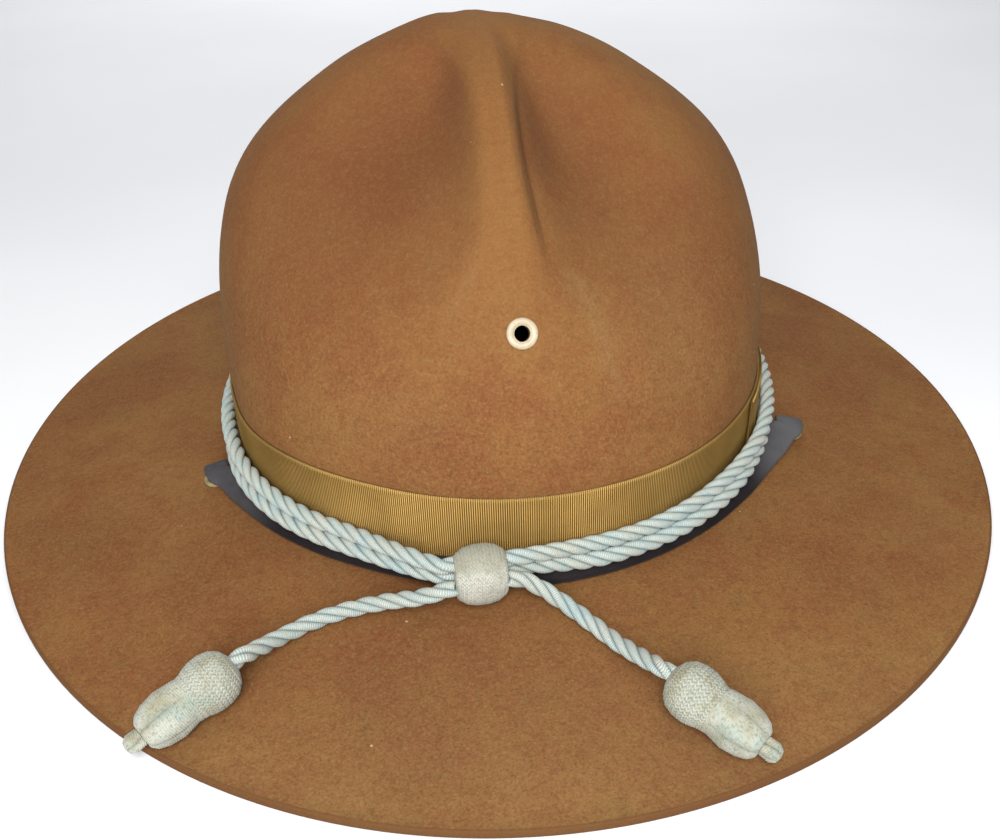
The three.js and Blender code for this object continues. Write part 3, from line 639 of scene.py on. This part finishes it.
# Places where the crown stands a little fuller: x, y, z, spread and how much
FULLER = (
    (-14, 4, 140, 9, 1.4), (6, 5, 140, 7, 0.5), (74, 0, 103, 22, 1.3),
    (-74, 0, 103, 22, 0.8), (58, -30, 112, 16, 0.7), (-64, -24, 108, 14, 0.4),
)


def column_angles(count):
    """Angles of the felt's columns, closer together at the front and back ridges."""
    per = count // 4
    way = np.arange(per) / per
    out = []
    for quarter, near in enumerate(RIDGE_CLOSER):
        if quarter % 2 == 0:
            inside = way * (near + (1 - near) * way)
        else:
            back = 1 - way
            inside = 1 - back * (near + (1 - near) * back)
        out.append(90 * (quarter + inside))
    return np.concatenate(out)


def on_front(x, y, z):
    """How far points lie right of the front ridge's left and right edges, and if they are in front."""
    left = np.interp(z, *RIDGE_LEFT)
    right = np.interp(z, *RIDGE_RIGHT)
    return x - left, x - right, smooth_step(-y, 4, 16)


def shaped(grid, outside):
    """The crown's face with the front ridge's steep left side and the fold along its right one."""
    x, y, z = grid[..., 0], grid[..., 1], grid[..., 2]
    from_left, from_right, front = on_front(x, y, z)
    upper = smooth_step(z, 88, 106) * (1 - smooth_step(z, 128, 139))
    fold = smooth_step(z, 92, 106) * (1 - smooth_step(z, 124, 134))
    step = -1.9 * bell(from_left + 7, 7.5) + 0.5 * bell(from_left - 3, 3)
    crease = bell(np.minimum(from_right, 0), 0.9) * bell(np.maximum(from_right, 0), 2.2)
    crease = -0.85 * crease + 0.3 * bell(from_right + 3, 2.2)
    around = np.roll(grid, -1, 1) - np.roll(grid, 1, 1)
    normal = unit(np.cross(around, np.gradient(grid, axis=0)))
    push = (step * upper + crease * fold) * front
    for *middle, spread, share in FULLER:
        push = push + share * np.exp(-((grid - middle) ** 2).sum(-1) / spread**2)
    push = push * outside[:, None]
    return grid + normal * push[..., None]


def brim_rows(foot, rim, shares, down):
    """Rows of the brim at shares of the way from the crown's foot to the rim."""
    rows = []
    for share in shares:
        rise = DROOP * min(1, (1 - share) / (1 - RIM_LAND))
        row = foot + (rim - foot) * share
        row[:, 2] = FELT - down + max(0, rise - DROOP * RIM_LAND)
        rows.append(row)
    return rows


def edge_rows(foot, rim):
    """Rows round the brim's cut edge, from below."""
    rows = []
    for inset, z in EDGE_ROWS:
        row = rim - unit(rim - foot) * inset
        row[:, 2] = z
        rows.append(row)
    return rows


def wall_rows(angles, wall, foot_top):
    """Rows of the rounded corner between brim and crown and of the wall behind the hatband."""
    corner = []
    for turn in np.radians([15, 30, 45, 60, 75, 90]):
        offset = FOOT_RADIUS * (1 - math.sin(turn)) + swell(angles)
        corner.append(oval_point(wall, angles, offset, foot_top + FOOT_RADIUS * (1 - math.cos(turn))))
    wall_top = crown_point(np.zeros(1), angles)[0]
    return [*corner, *(corner[-1] + (wall_top - corner[-1]) * t for t in (0.2, 0.4, 0.6, 0.8))]


def crown_rows(angles, peak):
    """Rows of the crown from the wall to the peak, with how deep in a dent each point lies."""
    rows, dents = [], []
    for place in np.linspace(0, LAST_ROW, CROWN_ROWS):
        row, share = crown_point(np.full(len(angles), place), angles)
        rows.append(row)
        dents.append(share)
    top = rows[-1]
    for t in CAP_RISE:
        row = top + (peak - top) * t
        row[:, 2] = top[:, 2] + (peak[2] - top[:, 2]) * (1 - (1 - t) ** 2)
        rows.append(row)
        dents.append(dents[CROWN_ROWS - 1])
    return rows, np.array(dents)


def crown_marks(crown, dents):
    """Shares of the felt's shades on the crown: painted highlight on the ridges, painted shade in
    the dents, along the crease and towards the top, and dust with painted highlight in streaks.
    """
    x, y, z = (crown[..., k] for k in range(3))
    from_left, from_right, front = on_front(x, y, z)
    soft = np.interp(z, *RIDGE_SOFT)
    # Painted highlight along the front ridge's crest, between its two edges, and on the back ridge's crest.
    ridge_highlight = smooth_step(from_left / soft, -1, 1) * (1 - smooth_step(from_right / soft, -0.7, 0.3))
    back = bell(x, 9) * (1 - front)
    # Painted shade in the crease along the front ridge's right edge.
    dark = bell(from_right, 0.55) * smooth_step(z, 94, 106) * (1 - smooth_step(z, 122, 131))
    # Dusty patches, and painted highlight in light streaks along the folds beside the ridge.
    dust_and_highlight = np.zeros_like(x)
    for heights, places, share in STREAKS:
        ends = smooth_step(z, heights[0], heights[0] + 8)
        ends = ends * (1 - smooth_step(z, heights[-1] - 4, heights[-1] + 4))
        dust_and_highlight = dust_and_highlight + share * ends * bell(x - np.interp(z, heights, places), 2.2)
    for middle_x, middle_z, wide, tall, share in DUSTY:
        dust_and_highlight = dust_and_highlight + share * bell(x - middle_x, wide) * bell(z - middle_z, tall)
    return {
        # Painted highlight on the ridges' crests.
        "ridge": smooth_step(z, 68, 104) * (ridge_highlight * front + back),
        # Painted shade in the dents, heavier on the left side.
        "dent": np.clip(dents, 0, 1) * np.where(x < 0, 1.15, 0.65),
        "cut": np.zeros_like(x),
        # Painted shade in the crease.
        "fold": dark * front,
        # Dust and painted highlight, on the front only.
        "dust_and_highlight": np.clip(dust_and_highlight, 0, 1) * front,
        # Less nap towards the top, which also lays painted shade there: the felt darkens upwards.
        "nap_and_top_shade": 1 - 0.55 * smooth_step(z, 50, 115),
    }


def felt_mesh():
    angles = column_angles(COLUMNS)
    wall = (CROWN["side"][0] - CINCH, CROWN["front"][0] - CINCH, BAND[2], BAND[3])
    rim = oval_point(BRIM, angles)
    foot = oval_point(wall, angles, FOOT_RADIUS + swell(angles))
    peak = np.array([BAND[2] + LEAN * (PEAK_HEIGHT - WALL_HIGH), BAND[3], FOOT + PEAK_HEIGHT])
    edge = edge_rows(foot, rim)
    shares = 1 - np.linspace(0.012, 1, BRIM_ROWS)
    upper = brim_rows(foot, rim, shares, 0)
    lower = brim_rows(foot, rim, shares[::-3], FELT)
    crown, dents = crown_rows(angles, peak)
    outer = np.array([edge[-1], *upper, *wall_rows(angles, wall, upper[-1][0, 2]), *crown])
    start = len(outer) - len(crown)

    around = np.roll(outer, -1, 1) - np.roll(outer, 1, 1)
    inside = (outer - unit(np.cross(around, np.gradient(outer, axis=0))) * FELT)[1 + len(upper):]
    inner = [inside[i] for i in [*range(0, len(inside) - 8, 4), len(inside) - 4]]
    outside = np.zeros(len(outer))
    outside[start:] = 1
    outer = shaped(outer, outside)
    grid = np.array([*inner[::-1], *lower, *edge[:-1], *outer])
    count = len(grid)
    points = np.vstack([grid.reshape(-1, 3), peak - (0, 0, FELT), peak])

    first = count - len(outer)
    attributes = {}
    for name, shades in crown_marks(outer[start:], dents).items():
        mark = np.full((count, COLUMNS), float(name == "nap_and_top_shade"))
        mark[first + start:] = shades
        if name == "cut":
            mark[first - 5:first + 1] = 1
        elif name == "dust_and_highlight":
            # On the brim the same mark grows towards the front edge, making the felt lighter and more olive
            # there.
            mark[first:first + start] = 0.65 * smooth_step(-outer[:start, :, 1], 105, 160)
        attributes[name] = np.append(mark.ravel(), [0, 0])
    return points, capped_faces(count, COLUMNS), attributes


def front_seat():
    heights = smooth_column(CROWN["height"], np.arange(0, LAST_ROW, 0.01))
    place = np.array([0.01 * np.argmax(heights >= FRONT_EYELET["height"])])
    angle = np.array([FRONT_EYELET["angle"]])
    point = crown_point(place, angle)[0][0]
    upward = crown_point(place + 0.2, angle)[0][0] - crown_point(place - 0.2, angle)[0][0]
    around = crown_point(place, angle + 3)[0][0] - crown_point(place, angle - 3)[0][0]
    return point, unit(np.cross(around, upward))


def brim_seat(side):
    angle = side * BRIM_EYELET["angle"]
    offset = BRIM_EYELET["offset"] + max(0, side) * BRIM_EYELET["bow"]
    point = oval_point(BAND, angle, offset, FOOT + brim_drop(angle, offset))
    out = outward(angle)
    farther = out + (0, 0, brim_drop(angle, 1))
    return point, unit(np.cross(farther, (-out[1], out[0], 0)))


def turned(points, direction, place):
    """Points turned from +Z to a direction and moved to a place."""
    turn = np.array(Vector((0, 0, 1)).rotation_difference(Vector(direction)).to_matrix())
    return points @ turn.T + place


def lathe(profile, sides):
    """Grid of points from (radius, z) pairs turned about +Z."""
    angle = np.linspace(0, 2 * math.pi, sides, endpoint=False)
    profile = np.asarray(profile, float)
    x = profile[:, :1] * np.cos(angle)
    y = profile[:, :1] * np.sin(angle)
    z = np.repeat(profile[:, 1:], sides, 1)
    return np.stack([x, y, z], -1)


# How much wider than its eyelet's hole a hole in the felt is, and the drill that cuts it
HOLE_WIDER = 0.9
HOLE_REACH = 9
HOLE_SIDES = 48
# Each eyelet's hole and outer radius, with its place and direction
SEATS = {
    "front_eyelet": ((2.1, 4.1), front_seat()),
    "brim_eyelet_left": ((3.2, 5.0), brim_seat(-1)),
    "brim_eyelet_right": ((3.2, 5.0), brim_seat(1)),
}

points, faces, marks = felt_mesh()
felt = make_mesh("felt", points, faces, attributes=marks, material=FELT_LOOK)
for (hole, _), (point, direction) in SEATS.values():
    drill = lathe([(hole + HOLE_WIDER, -HOLE_REACH), (hole + HOLE_WIDER, HOLE_REACH)], HOLE_SIDES)
    ends = [tuple(range(HOLE_SIDES))[::-1], tuple(range(HOLE_SIDES, 2 * HOLE_SIDES))]
    drill = turned(drill.reshape(-1, 3), direction, point)
    cutter = make_mesh("cutter", drill, grid_faces(2, HOLE_SIDES) + ends)
    cut = felt.modifiers.new("cut", "BOOLEAN")
    cut.operation = "DIFFERENCE"
    cut.solver = "EXACT"
    cut.object = cutter
    bpy.context.view_layer.objects.active = felt
    bpy.ops.object.modifier_apply(modifier=cut.name)
    bpy.data.objects.remove(cutter)
felt.data.shade_smooth()
adopt(felt, "felt", "felt_body")

# Eyelets

EYELET_SIDES = 64


def eyelet(name, hole, outer, point, direction, look):
    """A rolled ring on the felt, its barrel and the curl that holds it from below."""
    lift, flange = 0.12, 0.95
    low = -FELT - 2 * GAP
    barrel = hole + 0.6
    middle, radius = (hole + outer) / 2, (outer - hole) / 2
    profile = [
        (barrel, low - 0.2), (barrel + 1.2, low), (barrel + 1.2, low - 0.4), (barrel + 0.6, low - 0.8),
        (hole + 0.25, low - 0.85), (hole, low - 0.5), (hole, lift - 0.4), (hole + 0.02, lift + flange * 0.6),
    ]
    for turn in np.radians(np.linspace(160, 0, 12)):
        height = lift + flange * (0.25 + 0.75 * math.sin(turn))
        profile.append((middle + radius * math.cos(turn), height))
    profile += [(outer, lift), (outer - 0.15, lift - 0.1), (barrel, lift - 0.1)]
    points = turned(lathe(profile, EYELET_SIDES).reshape(-1, 3), direction, point)
    faces = grid_faces(len(profile), EYELET_SIDES, wrap_rows=True, flip=True)
    return adopt(make_mesh(name, points, faces, material=look), "enamel", name)


for name, ((hole, outer), (point, direction)) in SEATS.items():
    eyelet(name, hole, outer, point, direction, ENAMEL_LOOK if name == "front_eyelet" else DULL_LOOK)

# Hatband and bow

# Rows down a ribbon's face as shares of its height, and how far its edges fall back there
RIBBON_DOWN = np.array([0, 0.012, 0.04, 0.06, *np.linspace(0.09, 0.91, 22), 0.94, 0.96, 0.988, 1])
RIBBON_BACK = [0.45, 0.1, 0, 0, *[0] * 22, 0.06, 0, 0.1, 0.45]
RIBBON_HUG = 0.4
BOW_LOW = 2.6
BOW_HIGH = 26.1


def ribbon_strip(name, angles, inside, outside, low, high, upright=True, crest=0.0, ended=True):
    """A ribbon that follows the hatband's face. inside, outside, low and high may vary by angle."""
    inside, outside, low, high = (np.broadcast_to(v, angles.shape) for v in (inside, outside, low, high))

    def row(down, offset):
        height = high + (low - high) * down
        return band_point(angles, offset - RIBBON_HUG * smooth_step(height, 12, 27), height)

    front = [
        row(down, outside - (outside - inside) * back + crest * math.sin(math.pi * down))
        for down, back in zip(RIBBON_DOWN, RIBBON_BACK)
    ]
    grid = np.array([*front, *(row(down, inside) for down in (1, 0.5, 0))])
    count, columns = grid.shape[:2]
    faces = grid_faces(count, columns, wrap_columns=False, wrap_rows=True, flip=True)
    if ended:
        ring = [row * columns for row in range(count)]
        faces += [tuple(ring), tuple(i + columns - 1 for i in ring[::-1])]
    run = run_along(band_point(angles, outside, (low + high) / 2))
    tall = np.concatenate([(high - low).mean() * (1 - RIBBON_DOWN), [0, 0.5, 1]])[:, None]
    uv = uv_grid(run, tall) if upright else uv_grid(tall, run)
    # Painted shade on the inside faces, against the felt, and faintly where the lower edge turns back.
    groove_shade = np.zeros((count, columns))
    groove_shade[len(front) - 4] = 0.3
    groove_shade[len(front):] = 1
    selvage = np.zeros((count, columns))
    selvage[:2] = 1
    marks = {"groove_shade": groove_shade.ravel(), "selvage": selvage.ravel()}
    return make_mesh(name, grid.reshape(-1, 3), faces, uv, marks, RIBBON_LOOK)


angles = np.linspace(-180, 180, 361)
wobble = 0.12 * np.sin(np.radians(angles * 3 + 20)) + 0.08 * np.sin(np.radians(angles * 7))
band_edges = BAND_LOW + wobble, BAND_HIGH + 0.6 * wobble
adopt(ribbon_strip("ribbon_band", angles, -0.85, -0.02, *band_edges, ended=False), "grosgrain", "hatband")
for name, ends, inside, outside, drawn_in in (
    ("bow_under", (55.6, 112.4), 0.06, 0.5, 0.5), ("bow_loop", (55, 113), 0.4, 0.9, 0),
):
    angles = np.linspace(*ends, 140)
    pinch = drawn_in + 0.9 * bell((angles - 95.5) * 1.6, 7)
    strip = ribbon_strip(name, angles, inside, outside, BOW_LOW + pinch, BOW_HIGH - pinch)
    adopt(strip, "grosgrain", "hatband_bow")
angles = np.linspace(92, 99, 24)
wrap = ribbon_strip("bow_middle", angles, 1.12, 1.9, BOW_LOW, BOW_HIGH, upright=False, crest=0.12)
adopt(wrap, "grosgrain", "bow_wrap")

# Hat cord

ROPE_STEP = 0.75
STRAND_SIDES = 10
LAY = 16.5  # length of one turn of the strands
SWIRL = 1.18  # how far the strands' middles lie from the cord's


def rope(name, points, past, paced=None):
    """Three strands laid right-handed round a centre line. past is how far they run on at the ends.
    paced gives the length that the strands turn by, where it isn't the line's own."""
    line = spline(points, ROPE_STEP)
    line = np.vstack([
        line[0] - unit(line[1] - line[0]) * past[0], line, line[-1] + unit(line[-1] - line[-2]) * past[1],
    ])
    side, up = frames(line)
    run = run_along(line)
    strand = CORD / 2 - SWIRL + 0.1
    turning = run if paced is None else paced(line)
    around = np.linspace(0, 2 * math.pi, STRAND_SIDES, endpoint=False)
    cosine, sine = (f(around)[None, :, None] for f in (np.cos, np.sin))
    verts, faces, uv, groove_shade = [], [], [], []
    for k in range(3):
        phase = 2 * math.pi * (turning / LAY + k / 3)
        spoke = side * np.cos(phase)[:, None] + up * np.sin(phase)[:, None]
        middle = line + spoke * SWIRL
        ahead = unit(np.gradient(middle, axis=0))
        across = unit(np.cross(ahead, spoke))
        away = np.cross(across, ahead)
        ring = middle[:, None] + strand * (away[:, None] * cosine * 1.1 + across[:, None] * sine * 1.16)
        start = k * len(line) * STRAND_SIDES
        last = start + (len(line) - 1) * STRAND_SIDES
        verts.append(ring.reshape(-1, 3))
        faces += grid_faces(len(line), STRAND_SIDES, start=start, flip=True)
        faces.append(tuple(range(start, start + STRAND_SIDES)))
        faces.append(tuple(range(last, last + STRAND_SIDES))[::-1])
        uv.append(uv_grid(run[:, None] * 1.08, around / (2 * math.pi)))
        # Painted shade where the strands dip toward the cord's middle, between one another.
        distance = np.linalg.norm(ring - line[:, None], axis=-1)
        groove_shade.append(np.clip((1.95 - distance) / 0.8, 0, 1).ravel())
    marks = {"groove_shade": np.concatenate(groove_shade)}
    return make_mesh(name, np.vstack(verts), faces, np.vstack(uv), marks, CORD_LOOK), line[1:-1]


def keeper_face(end, behind, above):
    turn = math.radians(KEEPER["turn"])
    reach = KEEPER["half"] + GAP
    return np.array([
        KEEPER["x"] + end * reach * math.cos(turn),
        KEEPER["y"] + end * reach * math.sin(turn) + behind,
        FOOT + KEEPER["height"] + above,
    ])


def turn_points(turn, behind, above, nearer):
    """The way of the high or the low turn of the cord, from one side of the keeper to the other."""
    lean = math.radians(KEEPER["turn"])
    stub = np.array([math.cos(lean), math.sin(lean), 0]) * CORD / 2
    right, left = keeper_face(1, behind, above), keeper_face(-1, behind, above)
    points = [right, right + stub]
    for degrees in np.arange(TURNS["angle"][0], TURNS["angle"][-1] + 0.01, TURN_STEP):
        row = rows_at_angle(TURNS, np.array([degrees]))
        height = row[f"{turn}_height"][0] + nearer[1]
        points.append(band_point(degrees, row[turn][0] - nearer[0], height))
    return [*points, left - stub, left]


def round_the_band(line):
    """How far along the hatband's oval each point of a turn lies, so that both turns lie alike."""
    angle = np.unwrap(np.arctan2((line[:, 0] - BAND[2]) / BAND[0], -(line[:, 1] - BAND[3]) / BAND[1]))
    return angle * (BAND[0] + BAND[1]) / 2


for name, turn, behind, above, nearer in (
    ("upper", "high", 0.6, 3.6, (-0.1, -0.28)), ("lower", "low", 2, -0.8, (0.2, 0.32)),
):
    points = turn_points(turn, behind, above, nearer)
    piece, _ = rope(f"cord_turn_{name}", points, (0.6, 0.6), round_the_band)
    adopt(piece, "cord", f"hat_cord_{name}")

# Keeper and acorns


def knit(around, along, columns, rows, slant=0.9):
    """Height from 0 to 1 of a knitted face of V stitches, at shares of the way round and along."""
    share = np.mod(around * columns, 1)
    off = np.abs(share - 0.5) * 2
    thread = np.abs(np.sin(math.pi * (along * rows + off * slant))) ** 0.55
    column = 1 - np.clip((off - 0.72) / 0.28, 0, 1) ** 2 * 0.8
    return thread * column * (1 - 0.25 * bell(off, 0.16))


def turned_piece(name, profile, sides, along_steps, relief, depth, look, place, flank_shade=0.0):
    """A turned solid with a worked face. profile holds (distance along, radius) pairs, relief gives
    the face's height from 0 to 1 and depth how deep 0 lies. Its last argument paints shade on two
    opposite sides."""
    profile = np.asarray(profile, float)
    run = run_along(profile)
    at = np.linspace(0, run[-1], along_steps)
    along, radius = (np.interp(at, run, profile[:, k]) for k in (0, 1))
    for _ in range(6):
        for values in (along, radius):
            values[1:-1] = (values[:-2] + 2 * values[1:-1] + values[2:]) / 4
    turn = np.linspace(0, 2 * math.pi, sides, endpoint=False)
    share_along, share_around = np.meshgrid(at / run[-1], turn / (2 * math.pi), indexing="ij")
    high = relief(share_around, share_along)
    reach = np.maximum(radius[:, None] - depth * (1 - high), 0.02)
    grid = np.stack([reach * np.cos(turn), reach * np.sin(turn), np.repeat(along[:, None], sides, 1)], -1)
    points = np.vstack([grid.reshape(-1, 3), (0, 0, along[0]), (0, 0, along[-1])])
    faces = capped_faces(along_steps, sides)
    # Painted shade on two opposite sides.
    shaded_flanks = np.tile(flank_shade * smooth_step(np.abs(np.sin(turn)), 0.35, 1), along_steps)
    # Painted shade in the face's low places.
    marks = {"groove_shade": np.append(1 - high, [1, 1]), "flank_shade": np.append(shaded_flanks, [0, 0])}
    return make_mesh(name, place(points), faces, attributes=marks, material=look)


def keeper_place(points):
    turn = math.radians(KEEPER["turn"])
    x, y, z = points[:, 2], points[:, 0] * KEEPER["depth"], points[:, 1] * KEEPER["tall"]
    return np.stack([
        KEEPER["x"] + x * math.cos(turn) - y * math.sin(turn),
        KEEPER["y"] + x * math.sin(turn) + y * math.cos(turn),
        FOOT + KEEPER["height"] + z,
    ], -1)


KEEPER_HALF = ((0.25, 1.0), (0.6, 0.93), (0.9, 0.76), (1, 0.62), (1, 0.3))
keeper_half = [(KEEPER["half"] * x, radius) for x, radius in KEEPER_HALF]
keeper = turned_piece(
    "keeper", [(-x, radius) for x, radius in keeper_half[::-1]] + keeper_half, 288, 160,
    lambda around, along: knit(along, around, 15, 44), 0.045, KEEPER_LOOK, keeper_place, 1.0,
)
adopt(keeper, "weave", "cord_keeper")


def acorn(side, route, end):
    entry = np.array(route[-1], float)
    direction = unit(np.array(end, float) - entry)
    start = entry + direction * GAP + (0, 0, FOOT)

    cap, body, tip = ACORN["cap"], ACORN["body"], ACORN["tip"]
    wide, waist, neck = ACORN["cap_radius"] - 0.45, ACORN["body_radius"], ACORN["neck"]
    body_start = cap + GAP
    tip_start = body_start + body + GAP

    def set_on(points):
        return turned(points, direction, start)

    def set_cap(points):
        return set_on(points) - (0, 0, ACORN["cap_radius"] - wide)

    def strands(around, along):
        across = np.mod(around * 4 + along * 0.3 + 0.2, 1) * 2 - 1
        return 0.85 * np.sqrt(1 - 0.97 * across**2) + 0.15 * np.abs(np.sin(math.pi * (along * 12 + across)))

    def lobes(around, along):
        across = np.mod(around * 5, 1) * 2 - 1
        lobe = 1 - (1 - np.sqrt(1 - 0.97 * across**2)) * smooth_step(along, 0.1, 0.6)
        ribs = np.abs(np.sin(math.pi * (along * 34 + np.abs(across) * 0.9))) ** 0.7
        return 0.84 * lobe + 0.16 * (1 - (1 - ribs) * smooth_step(along, 0.08, 0.16))

    def loops(around, along):
        return 1 - (1 - knit(along, around, 17, 38, 0.7)) * (1 - 0.7 * smooth_step(along, 0.72, 0.82))

    cap_profile = [
        (0.05, 0.6), (-0.1, CORD * 0.6), (cap * 0.08, wide * 0.68), (cap * 0.22, wide * 0.9),
        (cap * 0.42, wide), (cap * 0.62, wide), (cap * 0.77, wide * 0.93), (cap * 0.88, waist * 0.95),
        (cap + 0.3, waist * 0.91), (cap + 0.9, waist * 0.9), (cap + 0.9, waist * 0.3),
    ]
    body_profile = [(body_start - 0.9, waist * 0.3), (body_start - 0.9, waist * 0.88)]
    for share, radius in (
        (0, waist * 0.92), (0.15, waist * 0.97), (0.4, waist * 1.04), (0.7, waist * 0.95),
        (0.9, neck * 1.1), (1, neck * 0.78),
    ):
        body_profile.append((body_start + body * share, radius))
    body_profile.append((body_start + body + 0.1, neck * 0.3))
    tip_profile = [
        (tip_start - 0.3, TIP_RADIUS * 0.5), (tip_start - 0.2, TIP_RADIUS * 1.05),
        (tip_start + tip * 0.6, TIP_RADIUS * 1.08), (tip_start + tip * 0.93, TIP_RADIUS * 0.7),
        (tip_start + tip, 0.3),
    ]
    lobe_depth = 1.0 if side == "left" else 0.6
    pieces = [
        turned_piece(f"acorn_knot_{side}", cap_profile, 320, 150, loops, 0.32, ACORN_LOOK, set_cap),
        turned_piece(f"acorn_trunk_{side}", body_profile, 264, 150, lobes, lobe_depth, ACORN_LOOK, set_on),
        turned_piece(f"acorn_end_{side}", tip_profile, 96, 72, strands, 1.1, ACORN_LOOK, set_on),
    ]
    for piece, part in zip(pieces, ("cap", "body", "tip")):
        adopt(piece, "weave", f"acorn_{part}_{side}")
    return pieces


def free_end(side, route, end):
    points = [(x, y, FOOT + height) for x, y, height in route]
    piece, line = rope(f"cord_free_{side}", points, (0.7, 1.0))
    adopt(piece, "cord", f"cord_end_{side}")
    pieces = acorn(side, route, end)


free_end("left", LEFT_ROUTE, LEFT_ACORN_END)
free_end("right", RIGHT_ROUTE, RIGHT_ACORN_END)

# Chin strap


def strap_stations(side):
    """Middle, direction across and width at stations of the strap, from the front to the back."""
    out = []
    bow_share = max(0, side)

    def across(degrees, lean):
        lean = math.radians(lean)
        return np.array([0, 0, math.cos(lean)]) - outward(side * degrees) * math.sin(lean)

    for degrees in [*range(0, 69, 5), 69]:
        row = rows_at_angle(STRAP_RUN, np.array([float(degrees)]))
        row = {name: values[0] for name, values in row.items()}
        offset = row["offset"] + bow_share * row["bow_offset"]
        middle = band_point(side * degrees, offset, row["height"])
        lean = row["lean"] + bow_share * row["bow_lean"]
        out.append((middle, across(degrees, lean), row["width"] + bow_share * row["bow_width"]))
    angle = BRIM_EYELET["angle"]
    point, direction = brim_seat(side)
    away = outward(side * angle)
    onward = np.array([-away[1], away[0], 0]) * side
    for along, height, lean, width, bow_along, bow_lean, bow_width in zip(*STRAP_PASSAGE.values()):
        middle = point + onward * (along + bow_share * bow_along) + direction * height
        out.append((middle, across(angle, lean + bow_share * bow_lean), width + bow_share * bow_width))
    offset = BRIM_EYELET["offset"] + bow_share * BRIM_EYELET["bow"]
    for degrees in range(angle + 7, 180, 7):
        height = FOOT + brim_drop(degrees, offset) + STRAP_UNDER["height"]
        middle = oval_point(BAND, side * degrees, offset, height)
        out.append((middle, across(degrees, STRAP_UNDER["lean"]), STRAP_UNDER["width"]))
    return out


def strap():
    stations = [*strap_stations(1), *strap_stations(-1)[:0:-1]]
    count = len(stations)
    middle, across, width = (np.array([station[k] for station in stations]) for k in range(3))
    run = run_along(np.vstack([middle, middle[:1]]))
    place = []
    for i in range(count):
        steps = max(1, round(run[i + 1] - run[i]))
        place += [i + t / steps for t in range(steps)]
    row = np.floor(place).astype(int)
    t = (place - row)[:, None]

    def smooth(values):
        """Smooth curve through the stations' values, all the way round the loop."""
        a, b, c, d = (values[(row + k) % count] for k in (-1, 0, 1, 2))
        near = [middle[(row + k) % count] for k in (-1, 0, 1, 2)]
        before, here, after = (np.linalg.norm(q - p, axis=1)[:, None] for p, q in zip(near, near[1:]))
        start = here * ((b - a) / before + (c - b) / here) / 2
        end = here * ((c - b) / here + (d - c) / after) / 2
        step = c - b
        return b + t * (start + t * (3 * step - 2 * start - end + t * (start + end - 2 * step)))

    line, lean, widths = smooth(middle), smooth(across), smooth(width[:, None])
    along = unit(np.roll(line, -1, 0) - np.roll(line, 1, 0))
    wide = unit(lean - along * (lean * along).sum(1, keepdims=True))
    thick = np.cross(along, wide)
    section = [(x * 0.955, 1 - 0.35 * abs(x) ** 8) for x in np.linspace(-1, 1, 15)]
    section += [(1, 0.3), (1, -0.3)]
    section += [(x * 0.955, -1 + 0.35 * abs(x) ** 8) for x in np.linspace(1, -1, 9)]
    section = np.array([*section, (-1, -0.3), (-1, 0.3)])
    grid = (
        line[:, None]
        + wide[:, None] * section[None, :, :1] * (widths / 2)[:, None]
        + thick[:, None] * section[None, :, 1:] * STRAP_THICK / 2
    )
    rows, columns = grid.shape[:2]
    uv = uv_grid(run_along(line)[:, None], section[:, 0] * STRAP_UNDER["width"] / 2)
    degrees = np.degrees(np.arctan2(line[:, 0] / BAND[0], -(line[:, 1] - BAND[3]) / BAND[1]))
    # Scuffing and painted light: lighter towards the strap's ends, less so on the left.
    worn_and_lit = smooth_step(np.abs(degrees), 48, 64) * np.where(degrees < 0, 0.6, 1)
    marks = {"edge": np.tile(np.abs(section[:, 0]) > 0.9, rows), "worn_and_lit": np.repeat(worn_and_lit, columns)}
    faces = grid_faces(rows, columns, wrap_rows=True, flip=True)
    return make_mesh("strap", grid.reshape(-1, 3), faces, uv, marks, LEATHER_LOOK)


adopt(strap(), "leather", "chin_strap")

# Floor and light

FLOOR_REACH = 3000
FLOOR_HEIGHT = -0.05
corners = [(x * FLOOR_REACH, y * FLOOR_REACH, FLOOR_HEIGHT) for x, y in ((-1, -1), (1, -1), (1, 1), (-1, 1))]
floor = make_mesh("floor", corners, [(0, 1, 2, 3)], material=sheet_look())


def lamp(name, place, target, size, watts):
    data = bpy.data.lights.new(name, "AREA")
    data.size = size
    data.energy = watts
    made = bpy.data.objects.new(name, data)
    bpy.context.scene.collection.objects.link(made)
    made.location = place
    made.rotation_euler = (Vector(target) - Vector(place)).to_track_quat("-Z", "Y").to_euler()


lamp("key", (-0.03, -0.62, 0.56), (0, -0.02, 0.05), 0.28, 6.2)
lamp("front", (-0.18, -0.8, 0.4), (0, -0.05, 0.05), 0.34, 6.2)
lamp("fill", (0.14, -0.2, 1.3), (0, -0.02, 0.05), 0.8, 2.5)
lamp("sky", (0.07, 1.1, 0.7), (0.07, 0.6, 0), 0.8, 7.8)
world = bpy.data.worlds.new("world")
bpy.context.scene.world = world
world.use_nodes = True
world.node_tree.nodes["Background"].inputs["Color"].default_value = (0.96, 0.98, 1, 1)
world.node_tree.nodes["Background"].inputs["Strength"].default_value = 0.32
bpy.context.scene.view_settings.view_transform = "Standard"
